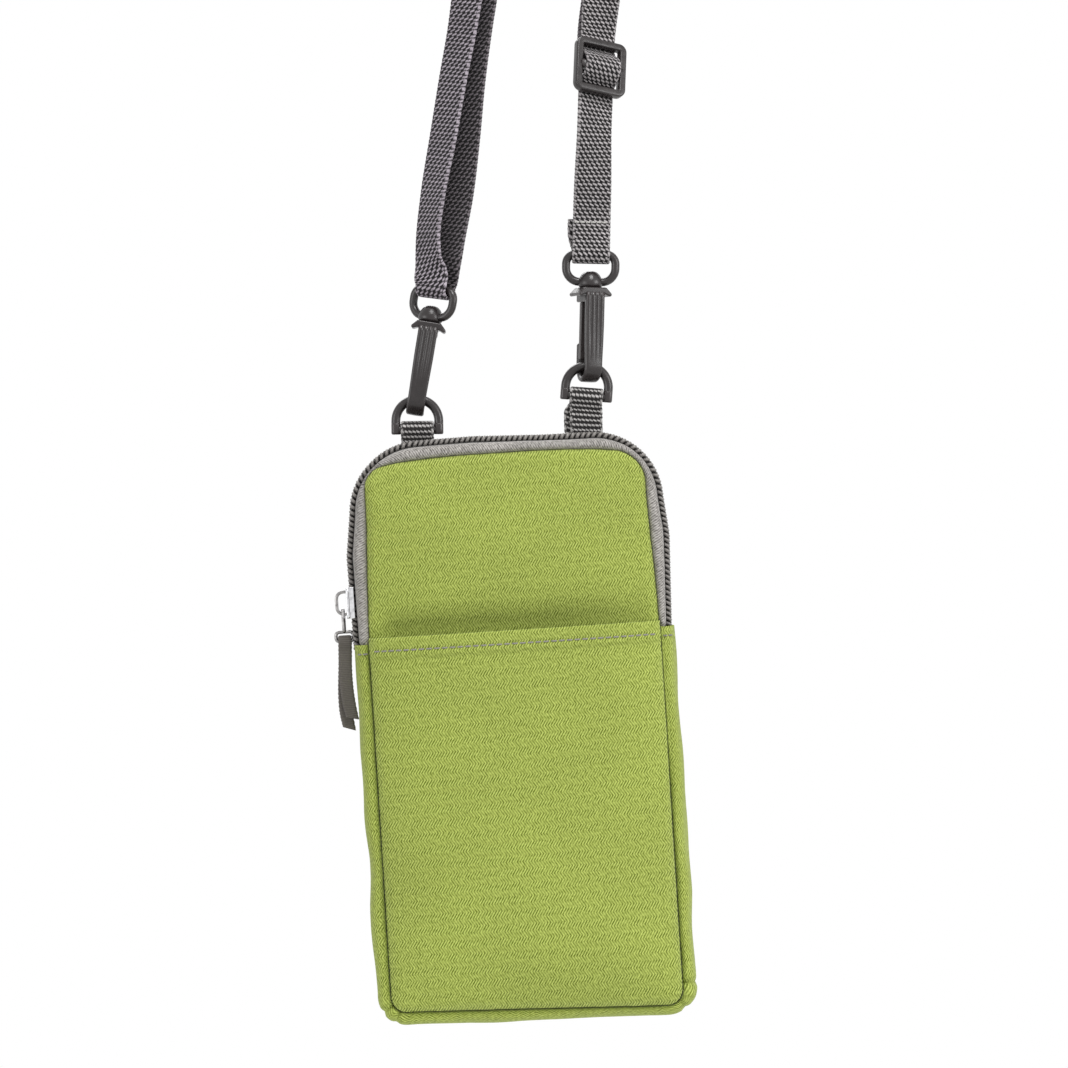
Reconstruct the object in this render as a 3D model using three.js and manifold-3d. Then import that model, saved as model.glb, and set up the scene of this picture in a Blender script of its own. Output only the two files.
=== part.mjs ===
// Upright zipped pouch that hangs from a shoulder strap by two swivel snap hooks.
// Sizes are in millimetres. In the bag's own frame x runs right, y back and z up from its underside.
import * as THREE from 'three';
import { mergeVertices } from 'three/addons/utils/BufferGeometryUtils.js';
import Module from 'manifold-3d';

const wasm = await Module();
wasm.setup();

// Clearances and sheet stock
const CLEARANCE = 0.3;
const FABRIC = 0.9;
const LINING = 0.6;
const FRONT_FOAM = 2.4;
const BACK_FOAM = 3.2;
const FOAM_INSET = 7;

// Bag outline along its seams, and its depth
const SEAM_WIDTH = 92;
const SEAM_HEIGHT = 175.6;
const TOP_SEAM_RADIUS = 18;
const BOTTOM_SEAM_RADIUS = 5;
const COMPARTMENT_DEPTH = 12;
const PANEL_CROWN = 1.8;
const CROWN_RUN = 30;

// Gusset band
const GUSSET_BULGE = 4.6;
const BAND_RIM = 1.1;
const BAND_SETBACK = 0.4;
const GUSSET_SLOPE = 5;
const SHOULDER_RISE = 0.7;
const SHOULDER_RUN = 0.45;

// Front pocket, measured up from the bottom seam
const POCKET_HEIGHT = 118.4;
const POCKET_DEPTH = 5;
const POCKET_FABRIC = 1;
const HEM_FOLD = 0.6;
const HEM_HEIGHT = 7;
const POCKET_RUN = 22;

// Zip: its ends lie below the pocket's hem, and the front folds above them
const HEM_OVER_ZIP = 2.3;
const FOLD_RISE = 21.5;
const TAPE = 0.6;
const TAPE_RISE = 3.6;
const TAPE_SLOT = 2;
const TOOTH_HEIGHT = 1.3;
const TOOTH_PITCH = 3.3;
const TOOTH_WIDTH = 1.15;
const TOOTH_REACH = 0.85;
const ROW_SPINE = 1.8;

// Zip slider, measured up from the zip's end, with its puller and ribbon tab
const SLIDER_RISE = 13.8;
const SLIDER_LENGTH = 10;
const SLIDER_PLATE = 1;
const SLIDER_HALF_TOP = 3.9;
const SLIDER_HALF_BOTTOM = 4.7;
const SLIDER_FLANGE = 0.7;
const SLIDER_POST = 1.3;
const SLIDER_POST_INSET = 0.6;
const CROWN_WIDTH = 2.2;
const CROWN_LENGTH = 8;
const CROWN_HOLE = 2.7;
const CROWN_BRIDGE = 1;
const CROWN_ROUND = 1.6;
const CROWN_CHAMFER = 0.8;
const PULLER_WIRE = 1.1;
const UPPER_LINK = 7;
const LOWER_LINK = 3;
const LINK_CORNER = 1;
const RIBBON_WIDTH = 4.2;
const RIBBON = 1.1;
const FRONT_LEAF = 24;
const BACK_LEAF = 28;
const LEAF_PINCH = 2.5;

// Webbing tabs and D-rings
const TAB_WIDTH = 10.4;
const TAB_WEBBING = 1.1;
const TAB_TUCK = 6;
const TAB_SLOT_PLAY = 1;
const TAB_PINCH = 2.2;
const TAB_WRAP = 230;
const RING_WIRE = 2.9;
const RING_INNER_WIDTH = 10.8;
const RING_HEIGHT = 12.6;
const RING_CORNER = 1.6;

// Snap hooks, with heights measured along the hook from the wire it holds
const HOOK_WIDTH = 6.2;
const HOOK_TIP_WIDTH = 3.6;
const SPINE_BACK = 5.6;
const SPINE = 2.4;
const THROAT_WIDTH = 6.4;
const NOSE = 1.9;
const NOSE_RISE = 4.4;
const JAW = 1.9;
const JAW_DROP = 5.2;
const HOOK_LENGTH = 25;
const HEAD_HEIGHT = 4.6;
const HEAD_FRONT = 4.3;
const WING_SPAN = 11.4;
const WING_DROP = 3;
const WING_TIP = 0.5;
const WING_ROOT = 0.6;
const WING_EDGE = 2.1;
const RIDGE_DEPTH = 0.5;
const RIDGE_SPACING = 2.5;
const GATE = 1.7;
const GATE_LIFT = 2.1;
const GATE_ROOT = 0.4;
const STEM_RADIUS = 1.5;
const STEM_PLAY = 0.3;
const STEM_HEAD = 0.7;
const STEM_HEAD_HEIGHT = 1.4;
const STEM_SEAT = 2.3;

// Swivel eyes
const EYE_WIRE = 2.65;
const EYE_WIDTH = 18.4;
const EYE_HEIGHT = 11.6;
const EYE_TOP_CORNER = 3.2;
const EYE_BOTTOM_CORNER = 4.4;
const BOSS_RADIUS = 3.8;
const BOSS_HEIGHT = 4.7;
const BOSS_DOME = [[1, 0], [1, 0.45], [0.78, 0.85], [0.35, 1], [0, 1]];
const SWIVEL_GAP = 0.5;

// Strap webbing and the slide adjuster
const STRAP_WIDTH = 12;
const STRAP = 1.3;
const LOOP_PLAY = 0.55;
const LOOP_LEG = 14;
const TAIL_LEG = 11;
const SQUARE_END = 2;
const TAIL_SLIP = -1.5;
const BACK_LAYER_SLIP = 3.2;
const LAYER_GAP = 1.2;
const GLIDE_WIDTH = 17.4;
const GLIDE_HEIGHT = 18.4;
const GLIDE_DEPTH = 3;
const GLIDE_END_BAR = 2.5;
const GLIDE_CENTRE_BAR = 3;
const GLIDE_CORNER = 2.6;
const GLIDE_PLAY = 0.4;
const SEWN_LAP = 6;

// Belt loop on the back
const BELT_LOOP_WIDTH = 30;
const BELT_LOOP_HEIGHT = 76;
const BELT_LOOP_SEWN = 9;
const BELT_LOOP_STANDOFF = 5.4;
const BELT_LOOP_WEBBING = 1.4;
const BELT_LOOP_SLOPE = 6;
const BELT_LOOP_MIDDLE = 105;

// Where the hung pieces are: in from the side seam, above the top seam, and their leans and turns in degrees
const LEFT = {
  name: 'left', sign: -1, throatInset: 19.6, throatRise: 17.6, hookLean: 12.9, hookTurn: 0, ringLean: 3,
  eyeTurn: -36,
};
const RIGHT = {
  name: 'right', sign: 1, throatInset: 17.1, throatRise: 24.8, hookLean: 4.84, hookTurn: 20, ringLean: 8,
  eyeTurn: 0,
};
const GLIDE_PLACE = { x: 38.4, rise: 119.3, lean: 6, pitch: -18, turn: 24 };

// Strap route, front layer: across, above the top seam, and turn of its face in degrees from straight ahead
const LEFT_ROUTE = [
  [-11.9, 81.8, 34], [-7.2, 111.8, 32], [-2.4, 141.6, 32], [4.7, 174.8, 42], [11.8, 207.8, 60],
  [18.7, 239.8, 80], [24.3, 265.8, 90],
];
const RIGHT_ROUTE = [
  [52.2, 265.8, 90], [49.8, 239.8, 84], [47, 209.8, 60], [44.1, 179.8, 28], [41.3, 147.8, 0],
];
const CROWN = { x: 40.5, rise: 279.8, pegRadius: 11, leftLean: 12, rightLean: 5, steps: 10 };

// Facets
const WIRE_SIDES = 8;
const WIRE_STEPS = 4;
const LINK_STEPS = 2;
const ROUND_SIDES = 16;
const ARC_STEPS = 7;
const PANEL_COLUMNS = 8;
const ROW_STEP = 24;
const ROUTE_STEPS = 4;
const SAME_POINT = 0.01;
const SAME_ROW = 0.05;
const WELD = 1e-4;

// Heights and depths that follow from the driving dimensions
const SEAM_BOTTOM = GUSSET_BULGE;
const SEAM_TOP = SEAM_BOTTOM + SEAM_HEIGHT;
const SEAM_HALF = SEAM_WIDTH / 2;
const HEM_Z = SEAM_BOTTOM + POCKET_HEIGHT;
const ZIP_END_Z = HEM_Z - HEM_OVER_ZIP;
const FOLD_Z = ZIP_END_Z + FOLD_RISE;
const SLIDER_Z = ZIP_END_Z + SLIDER_RISE;
const LINING_FACE = COMPARTMENT_DEPTH / 2;
const FOAM_FACE = LINING_FACE + LINING + CLEARANCE;
const FRONT_FACE = FOAM_FACE + FRONT_FOAM + CLEARANCE;
const FRONT_OUT = FRONT_FACE + FABRIC;
const BACK_FACE = FOAM_FACE + BACK_FOAM + CLEARANCE;
const BACK_OUT = BACK_FACE + FABRIC;
const BAND_FRONT = FRONT_OUT - BAND_SETBACK;
const BAND_BACK = BACK_OUT - BAND_SETBACK;
const HANG_Y = LINING_FACE + LINING + CLEARANCE + TAB_WEBBING + CLEARANCE / 2;
const TEETH_BASE = TAPE_RISE + CLEARANCE;
const TEETH_TOP = TEETH_BASE + TOOTH_HEIGHT;
const SLIDER_TOP_FACE = TEETH_TOP + CLEARANCE;
const RING_RADIUS = RING_WIRE / 2;
const RING_HALF = (RING_INNER_WIDTH + RING_WIRE) / 2;
const RING_REACH = RING_HEIGHT - RING_WIRE;
const SPINE_INNER = SPINE - SPINE_BACK;
const NOSE_INNER = SPINE_INNER + THROAT_WIDTH;
const EYE_TOP = HOOK_LENGTH + SWIVEL_GAP + EYE_HEIGHT - EYE_WIRE / 2;
const LOOP_RADIUS = EYE_WIRE / 2 + LOOP_PLAY + STRAP / 2;
const LAYER_PITCH = STRAP + LAYER_GAP;

// Materials
function finish(color, roughness, metalness = 0) {
  return new THREE.MeshStandardMaterial({ color, roughness, metalness });
}
const GREEN_FABRIC = finish(0x9eb846, 0.85);
const LINING_CLOTH = finish(0x4a4b4d, 0.9);
const FOAM_MATERIAL = finish(0xd8d6cf, 0.95);
const GREY_TAPE = finish(0x878280, 0.85);
const TEETH_PLASTIC = finish(0x77736f, 0.55);
const CHROME = finish(0xc9cacc, 0.2, 1);
const RIBBON_CLOTH = finish(0x6b6866, 0.8);
const TAB_CLOTH = finish(0x807d7b, 0.9);
const STRAP_CLOTH = finish(0x5a585b, 0.9);
const DARK_PLASTIC = finish(0x3c393a, 0.45);

// Mesh building

function closedGeometry(positions, faces) {
  const corner = (i) => new THREE.Vector3().fromArray(positions, 3 * i);
  let volume = 0;
  for (let i = 0; i < faces.length; i += 3) {
    volume += corner(faces[i]).dot(corner(faces[i + 1]).cross(corner(faces[i + 2])));
  }
  const geometry = new THREE.BufferGeometry();
  geometry.setAttribute('position', new THREE.Float32BufferAttribute(positions, 3));
  geometry.setIndex(volume > 0 ? faces : faces.reverse());
  geometry.computeVertexNormals();
  return geometry;
}

// Triangles of a flat section, all wound the way its outline runs.
function capFaces(section) {
  const outline = section.map(([a, b]) => new THREE.Vector2(a, b));
  const sense = Math.sign(THREE.ShapeUtils.area(outline));
  return THREE.ShapeUtils.triangulateShape(outline, []).map(([a, b, c]) => {
    const turned = THREE.ShapeUtils.area([outline[a], outline[b], outline[c]]) * sense < 0;
    return turned ? [a, c, b] : [a, b, c];
  });
}

function fanFaces(count) {
  return Array.from({ length: count - 2 }, (_, i) => [0, i + 1, i + 2]);
}

// A solid through rings of points, closed by its caps or, as a loop, on itself.
function loft(rings, { loop = false, caps = fanFaces(rings[0].length) } = {}) {
  const size = rings[0].length;
  const positions = rings.flat().flatMap((p) => [p.x, p.y, p.z]);
  const faces = [];
  const spans = loop ? rings.length : rings.length - 1;
  for (let i = 0; i < spans; i += 1) {
    const here = i * size;
    const next = ((i + 1) % rings.length) * size;
    for (let j = 0; j < size; j += 1) {
      const k = (j + 1) % size;
      faces.push(here + j, here + k, next + k, here + j, next + k, next + j);
    }
  }
  if (!loop) {
    const end = (rings.length - 1) * size;
    for (const [a, b, c] of caps) {
      faces.push(a, c, b, end + a, end + b, end + c);
    }
  }
  return closedGeometry(positions, faces);
}

function tangents(points, loop) {
  const count = points.length;
  return points.map((_, i) => {
    const before = loop ? points[(i + count - 1) % count] : points[Math.max(i - 1, 0)];
    const after = loop ? points[(i + 1) % count] : points[Math.min(i + 1, count - 1)];
    return after.clone().sub(before).normalize();
  });
}

// Flat webbing along a line of points, each with the way its face looks.
function ribbon(points, faceNormals, width, thickness) {
  const along = tangents(points, false);
  const rings = points.map((point, i) => {
    const out = faceNormals[i].clone().addScaledVector(along[i], -faceNormals[i].dot(along[i])).normalize();
    const side = along[i].clone().cross(out);
    return [[-1, -1], [1, -1], [1, 1], [-1, 1]].map(([s, o]) => point.clone()
      .addScaledVector(side, (s * width) / 2).addScaledVector(out, (o * thickness) / 2));
  });
  return loft(rings);
}

// Round wire along a closed flat outline in the XZ plane.
function wireLoop(outline, radius) {
  const points = outline.map((p) => new THREE.Vector3(p.x, 0, p.y));
  const across = new THREE.Vector3(0, 1, 0);
  const along = tangents(points, true);
  const rings = points.map((point, i) => {
    const inPlane = along[i].clone().cross(across);
    return Array.from({ length: WIRE_SIDES }, (_, k) => {
      const angle = (2 * Math.PI * (k + 0.5)) / WIRE_SIDES;
      return point.clone().addScaledVector(across, radius * Math.cos(angle))
        .addScaledVector(inPlane, radius * Math.sin(angle));
    });
  });
  return loft(rings, { loop: true });
}

// An outline in the XZ plane, extruded in y between two depths.
function slab(shape, yFront, yBack) {
  const geometry = new THREE.ExtrudeGeometry(shape, {
    depth: yBack - yFront, bevelEnabled: false, curveSegments: ARC_STEPS,
  });
  return geometry.rotateX(Math.PI / 2).translate(0, yBack, 0);
}

// An outline given as [y, z], extruded in x evenly about the middle.
function sideProfile(outline, width) {
  const shape = new THREE.Shape(outline.map(([y, z]) => new THREE.Vector2(y, z)));
  const geometry = new THREE.ExtrudeGeometry(shape, { depth: width, bevelEnabled: false });
  return geometry.translate(0, 0, -width / 2).applyMatrix4(
    new THREE.Matrix4().makeBasis(
      new THREE.Vector3(0, 1, 0), new THREE.Vector3(0, 0, 1), new THREE.Vector3(1, 0, 0),
    ),
  );
}

function box(low, high) {
  const size = high.map((value, i) => value - low[i]);
  const middle = high.map((value, i) => (value + low[i]) / 2);
  return new THREE.BoxGeometry(...size).translate(...middle);
}

function solidOf(geometry) {
  const bare = geometry.clone();
  bare.deleteAttribute('normal');
  bare.deleteAttribute('uv');
  const merged = mergeVertices(bare, WELD);
  return new wasm.Manifold(new wasm.Mesh({
    numProp: 3,
    vertProperties: new Float32Array(merged.attributes.position.array),
    triVerts: new Uint32Array(merged.index.array),
  }));
}

function geometryOf(solid) {
  const mesh = solid.getMesh();
  const geometry = new THREE.BufferGeometry();
  geometry.setAttribute('position', new THREE.Float32BufferAttribute(mesh.vertProperties, 3));
  geometry.setIndex(Array.from(mesh.triVerts));
  geometry.computeVertexNormals();
  return geometry;
}

function join(...geometries) {
  return geometryOf(geometries.map(solidOf).reduce((sum, solid) => sum.add(solid)));
}

function cut(geometry, ...tools) {
  return geometryOf(tools.map(solidOf).reduce((rest, tool) => rest.subtract(tool), solidOf(geometry)));
}

function radians(degrees) {
  return THREE.MathUtils.degToRad(degrees);
}

const bag = new THREE.Group();

function place(name, geometry, material, parent = bag) {
  const mesh = new THREE.Mesh(geometry, material);
  mesh.name = name;
  parent.add(mesh);
}

// Panels

// Half the width between the side seams at a height, for a panel cut smaller by an inset.
function rowHalfWidth(z, inset) {
  const half = SEAM_HALF - inset;
  const topRadius = Math.max(TOP_SEAM_RADIUS - inset, 1);
  const bottomRadius = Math.max(BOTTOM_SEAM_RADIUS - inset, 1);
  const intoTop = z - (SEAM_TOP - inset - topRadius);
  const intoBottom = SEAM_BOTTOM + inset + bottomRadius - z;
  if (intoTop > 0) {
    return half - topRadius + Math.sqrt(Math.max(topRadius ** 2 - intoTop ** 2, 0));
  }
  if (intoBottom > 0) {
    return half - bottomRadius + Math.sqrt(Math.max(bottomRadius ** 2 - intoBottom ** 2, 0));
  }
  return half;
}

// Heights of a panel's rows: close together round the corners, wide apart between.
function panelRows(low, high, inset) {
  const topRadius = Math.max(TOP_SEAM_RADIUS - inset, 1);
  const bottomRadius = Math.max(BOTTOM_SEAM_RADIUS - inset, 1);
  const rows = [low, high];
  for (let i = 0; i <= ARC_STEPS; i += 1) {
    const rise = Math.sin((Math.PI / 2) * (i / ARC_STEPS));
    rows.push(SEAM_TOP - inset - topRadius + topRadius * rise);
    rows.push(SEAM_BOTTOM + inset + bottomRadius - bottomRadius * rise);
  }
  for (let z = SEAM_BOTTOM + ROW_STEP / 2; z < SEAM_TOP; z += ROW_STEP) {
    rows.push(z);
  }
  const inside = rows.filter((z) => z >= low && z <= high).sort((a, b) => a - b);
  return inside.filter((z, i) => i === 0 || z - inside[i - 1] > SAME_ROW);
}

// A closed sheet whose two faces are given as depths over the panel.
function panel(low, high, inset, frontDepth, backDepth, columns = PANEL_COLUMNS) {
  const rings = panelRows(low, high, inset).map((z) => {
    const half = rowHalfWidth(z, inset);
    const across = Array.from({ length: columns + 1 }, (_, j) => half * ((2 * j) / columns - 1));
    const front = across.map((x) => new THREE.Vector3(x, frontDepth(x, z), z));
    const back = across.map((x) => new THREE.Vector3(x, backDepth(x, z), z));
    return [...front, ...back.reverse()];
  });
  const caps = Array.from({ length: columns }, (_, j) => {
    const far = 2 * columns + 1 - j;
    return [[j, j + 1, far - 1], [j, far - 1, far]];
  }).flat();
  return loft(rings, { caps });
}

function flatPanel(low, high, inset, yFront, yBack) {
  return panel(low, high, inset, () => yFront, () => yBack, 1);
}

// How far the padded front swells between its seams.
function crown(x, z) {
  const side = 1 - Math.min(Math.abs(x) / rowHalfWidth(z, 0), 1) ** 3;
  const fromEnd = Math.min(SEAM_TOP - z, z - SEAM_BOTTOM) / CROWN_RUN;
  const ends = 1 - (1 - Math.min(Math.max(fromEnd, 0), 1)) ** 2;
  return PANEL_CROWN * side * ends;
}

// How far the front pocket stands off the wall behind it.
function pocketGap(x, z) {
  const side = 1 - Math.min(Math.abs(x) / rowHalfWidth(z, 0), 1) ** 4;
  const end = 1 - (1 - Math.min(Math.max((z - SEAM_BOTTOM) / POCKET_RUN, 0), 1)) ** 2;
  return CLEARANCE + POCKET_DEPTH * side * end;
}

function hemFold(z) {
  return z > HEM_Z - HEM_HEIGHT ? HEM_FOLD : 0;
}

// Fabric over foam over lining, for the stretch of the front between two heights.
function paddedFront(names, low, high) {
  const foamLow = Math.max(low, SEAM_BOTTOM + FOAM_INSET);
  const foamHigh = Math.min(high, SEAM_TOP - FOAM_INSET);
  place(names.fabric, panel(low, high, 0,
    (x, z) => -FRONT_OUT - crown(x, z), (x, z) => -FRONT_FACE - crown(x, z)), GREEN_FABRIC);
  place(names.foam, panel(foamLow, foamHigh, FOAM_INSET,
    (x, z) => -FOAM_FACE - FRONT_FOAM - crown(x, z), () => -FOAM_FACE), FOAM_MATERIAL);
  place(names.lining, flatPanel(low, high, 0, -LINING_FACE - LINING, -LINING_FACE), LINING_CLOTH);
}

paddedFront({ fabric: 'front_panel', foam: 'front_foam', lining: 'front_lining' },
  FOLD_Z + CLEARANCE / 2, SEAM_TOP);
paddedFront({ fabric: 'lower_front_wall', foam: 'lower_front_foam', lining: 'lower_front_lining' },
  SEAM_BOTTOM, FOLD_Z - CLEARANCE / 2);

place('front_pocket', panel(SEAM_BOTTOM, HEM_Z, 0,
  (x, z) => -FRONT_OUT - crown(x, z) - pocketGap(x, z) - POCKET_FABRIC - hemFold(z),
  (x, z) => -FRONT_OUT - crown(x, z) - pocketGap(x, z)), GREEN_FABRIC);

place('back_panel', flatPanel(SEAM_BOTTOM, SEAM_TOP, 0, BACK_FACE, BACK_OUT), GREEN_FABRIC);
place('back_foam', flatPanel(SEAM_BOTTOM + FOAM_INSET, SEAM_TOP - FOAM_INSET, FOAM_INSET,
  FOAM_FACE, FOAM_FACE + BACK_FOAM), FOAM_MATERIAL);
place('back_lining', flatPanel(SEAM_BOTTOM, SEAM_TOP, 0, LINING_FACE, LINING_FACE + LINING), LINING_CLOTH);

// Gusset and zip band

function station(x, z, angle) {
  return { x, z, outX: Math.cos(angle), outZ: Math.sin(angle) };
}

function cornerStations(x, z, radius, fromDegrees, toDegrees) {
  return Array.from({ length: ARC_STEPS + 1 }, (_, i) => {
    const angle = radians(fromDegrees + ((toDegrees - fromDegrees) * i) / ARC_STEPS);
    return station(x + radius * Math.cos(angle), z + radius * Math.sin(angle), angle);
  });
}

// Along the seam from the left side over the top to the right side.
function archPath(leftZ, rightZ) {
  const middle = SEAM_HALF - TOP_SEAM_RADIUS;
  const height = SEAM_TOP - TOP_SEAM_RADIUS;
  return [
    station(-SEAM_HALF, leftZ, Math.PI),
    ...cornerStations(-middle, height, TOP_SEAM_RADIUS, 180, 90),
    ...cornerStations(middle, height, TOP_SEAM_RADIUS, 90, 0),
    station(SEAM_HALF, rightZ, 0),
  ];
}

function sidePath(side, lowZ, highZ) {
  const angle = side < 0 ? Math.PI : 0;
  return [station(side * SEAM_HALF, lowZ, angle), station(side * SEAM_HALF, highZ, angle)];
}

function gussetPath(topZ) {
  const middle = SEAM_HALF - BOTTOM_SEAM_RADIUS;
  const height = SEAM_BOTTOM + BOTTOM_SEAM_RADIUS;
  return [
    station(-SEAM_HALF, topZ, Math.PI),
    ...cornerStations(-middle, height, BOTTOM_SEAM_RADIUS, 180, 270),
    ...cornerStations(middle, height, BOTTOM_SEAM_RADIUS, 270, 360),
    station(SEAM_HALF, topZ, 0),
  ];
}

// The line moved sideways by the sheet's thickness, with mitred corners.
function offsetLine(line, distance) {
  const points = line.map(([a, b]) => new THREE.Vector2(a, b));
  const turns = points.slice(1).map((p, i) => {
    const step = p.clone().sub(points[i]).normalize();
    return new THREE.Vector2(-step.y, step.x);
  });
  return points.map((point, i) => {
    const before = turns[Math.max(i - 1, 0)];
    const after = turns[Math.min(i, turns.length - 1)];
    const mitre = before.clone().add(after).normalize();
    const moved = point.clone().addScaledVector(mitre, distance / mitre.dot(before));
    return [moved.x, moved.y];
  });
}

// A bent sheet, given by its outer line as [outward, y], swept along the seam.
function bandSheet(path, outerLine, thickness) {
  const section = [...outerLine, ...offsetLine(outerLine, thickness).reverse()];
  const rings = path.map(({ x, z, outX, outZ }) => section.map(
    ([out, y]) => new THREE.Vector3(x + out * outX, y, z + out * outZ),
  ));
  return loft(rings, { caps: capFaces(section) });
}

const gussetLine = [
  [BAND_RIM, -BAND_FRONT],
  [GUSSET_BULGE * SHOULDER_RISE, -BAND_FRONT + GUSSET_SLOPE * SHOULDER_RUN],
  [GUSSET_BULGE, -BAND_FRONT + GUSSET_SLOPE],
  [GUSSET_BULGE, BAND_BACK - GUSSET_SLOPE],
  [GUSSET_BULGE * SHOULDER_RISE, BAND_BACK - GUSSET_SLOPE * SHOULDER_RUN],
  [BAND_RIM, BAND_BACK],
];
place('gusset', bandSheet(gussetPath(ZIP_END_Z - CLEARANCE), gussetLine, FABRIC), GREEN_FABRIC);

const frontTapeLine = [
  [BAND_RIM, -BAND_FRONT],
  [TAPE_RISE * SHOULDER_RISE, -BAND_FRONT + GUSSET_SLOPE * SHOULDER_RUN],
  [TAPE_RISE, -BAND_FRONT + GUSSET_SLOPE],
  [TAPE_RISE, -TAPE_SLOT / 2],
];
const backTapeLine = [
  [TAPE_RISE, TAPE_SLOT / 2],
  [TAPE_RISE, BAND_BACK - GUSSET_SLOPE],
  [TAPE_RISE * SHOULDER_RISE, BAND_BACK - GUSSET_SLOPE * SHOULDER_RUN],
  [BAND_RIM, BAND_BACK],
];
const flapStart = FOLD_Z + CLEARANCE / 2;
const flapEnd = FOLD_Z - CLEARANCE / 2;
place('zip_tape_front', bandSheet(archPath(flapStart, flapStart), frontTapeLine, TAPE), GREY_TAPE);
place('zip_tape_left_end', bandSheet(sidePath(-1, ZIP_END_Z, flapEnd), frontTapeLine, TAPE), GREY_TAPE);
place('zip_tape_right_end', bandSheet(sidePath(1, ZIP_END_Z, flapEnd), frontTapeLine, TAPE), GREY_TAPE);

// The tabs come up through the back seam, so the back tape is open where they pass.
function tabSlot(side) {
  const half = TAB_WIDTH / 2 + TAB_SLOT_PLAY;
  const depth = TAB_WEBBING + 1.5 * CLEARANCE;
  return box([tabX(side) - half, HANG_Y - depth, SEAM_TOP - TAB_TUCK],
    [tabX(side) + half, HANG_Y + depth, SEAM_TOP + GUSSET_BULGE]);
}

// Middle of the wire in a hook's throat.
function throatPlace(side) {
  return { x: side.sign * (SEAM_HALF - side.throatInset), z: SEAM_TOP + side.throatRise };
}

// Middle of the straight bar of a D-ring, below the wire that its hook holds.
function barPlace(side) {
  const lean = radians(side.ringLean);
  const throat = throatPlace(side);
  return { x: throat.x - RING_REACH * Math.sin(lean), z: throat.z - RING_REACH * Math.cos(lean) };
}

function tabX(side) {
  return barPlace(side).x;
}

const backTape = bandSheet(archPath(ZIP_END_Z, ZIP_END_Z), backTapeLine, TAPE);
place('zip_tape_back', cut(backTape, tabSlot(LEFT), tabSlot(RIGHT)), GREY_TAPE);

// A point on the arch at a distance along it, with its outward direction.
function alongArch(distance) {
  const straight = SEAM_TOP - TOP_SEAM_RADIUS - ZIP_END_Z;
  const arc = (Math.PI / 2) * TOP_SEAM_RADIUS;
  const middle = SEAM_HALF - TOP_SEAM_RADIUS;
  const height = SEAM_TOP - TOP_SEAM_RADIUS;
  let rest = distance;
  if (rest < straight) {
    return station(-SEAM_HALF, ZIP_END_Z + rest, Math.PI);
  }
  rest -= straight;
  if (rest < arc) {
    const angle = Math.PI - rest / TOP_SEAM_RADIUS;
    const x = -middle + TOP_SEAM_RADIUS * Math.cos(angle);
    return station(x, height + TOP_SEAM_RADIUS * Math.sin(angle), angle);
  }
  rest -= arc;
  if (rest < 2 * middle) {
    return station(-middle + rest, SEAM_TOP, Math.PI / 2);
  }
  rest -= 2 * middle;
  if (rest < arc) {
    const angle = Math.PI / 2 - rest / TOP_SEAM_RADIUS;
    const x = middle + TOP_SEAM_RADIUS * Math.cos(angle);
    return station(x, height + TOP_SEAM_RADIUS * Math.sin(angle), angle);
  }
  rest -= arc;
  return station(SEAM_HALF, height - rest, 0);
}

const ARCH_LENGTH = 2 * (SEAM_TOP - TOP_SEAM_RADIUS - ZIP_END_Z) + Math.PI * TOP_SEAM_RADIUS
  + 2 * (SEAM_HALF - TOP_SEAM_RADIUS);

function tooth(distance, yLow, yHigh) {
  const at = alongArch(distance);
  const block = box([-TOOTH_WIDTH / 2, yLow, TEETH_BASE], [TOOTH_WIDTH / 2, yHigh, TEETH_TOP]);
  const angle = Math.atan2(at.outX, at.outZ);
  return block.rotateY(angle).translate(at.x, 0, at.z);
}

// One half of the zip chain: a spine on the tape and teeth that reach between those of the other half.
function toothRow(path, from, to, yDirection, phase) {
  const inner = TAPE_SLOT / 2;
  const ends = [inner * yDirection, (inner + ROW_SPINE) * yDirection].sort((a, b) => a - b);
  const section = [
    [TEETH_BASE, ends[0]], [TEETH_TOP, ends[0]], [TEETH_TOP, ends[1]], [TEETH_BASE, ends[1]],
  ];
  const rings = path.map(({ x, z, outX, outZ }) => section.map(
    ([out, y]) => new THREE.Vector3(x + out * outX, y, z + out * outZ),
  ));
  const reach = [-TOOTH_REACH * yDirection, (inner + ROW_SPINE / 2) * yDirection].sort((a, b) => a - b);
  const teeth = [];
  const first = Math.ceil((from + TOOTH_WIDTH - phase) / TOOTH_PITCH);
  for (let i = first; i * TOOTH_PITCH + phase < to - TOOTH_WIDTH; i += 1) {
    teeth.push(tooth(i * TOOTH_PITCH + phase, reach[0], reach[1]));
  }
  return join(loft(rings), ...teeth);
}

const sliderEnd = SLIDER_Z + SLIDER_LENGTH / 2 + CLEARANCE;
const foldDistance = FOLD_Z - ZIP_END_Z;
const halfGap = CLEARANCE / 2;
place('zip_teeth_front', toothRow(archPath(flapStart, flapStart), foldDistance + halfGap,
  ARCH_LENGTH - foldDistance - halfGap, -1, 0), TEETH_PLASTIC);
place('zip_teeth_right_end', toothRow(sidePath(1, ZIP_END_Z, flapEnd),
  ARCH_LENGTH - foldDistance + halfGap, ARCH_LENGTH, -1, 0), TEETH_PLASTIC);
place('zip_teeth_back', toothRow(archPath(sliderEnd, ZIP_END_Z), sliderEnd - ZIP_END_Z,
  ARCH_LENGTH, 1, TOOTH_PITCH / 2), TEETH_PLASTIC);

// Zip slider, on the straight left run, built in the seam's frame: x outward, y along the zip's width
const sliderFrame = new THREE.Group();
sliderFrame.position.set(-SEAM_HALF, 0, SLIDER_Z);
sliderFrame.rotation.z = Math.PI;
bag.add(sliderFrame);

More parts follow.
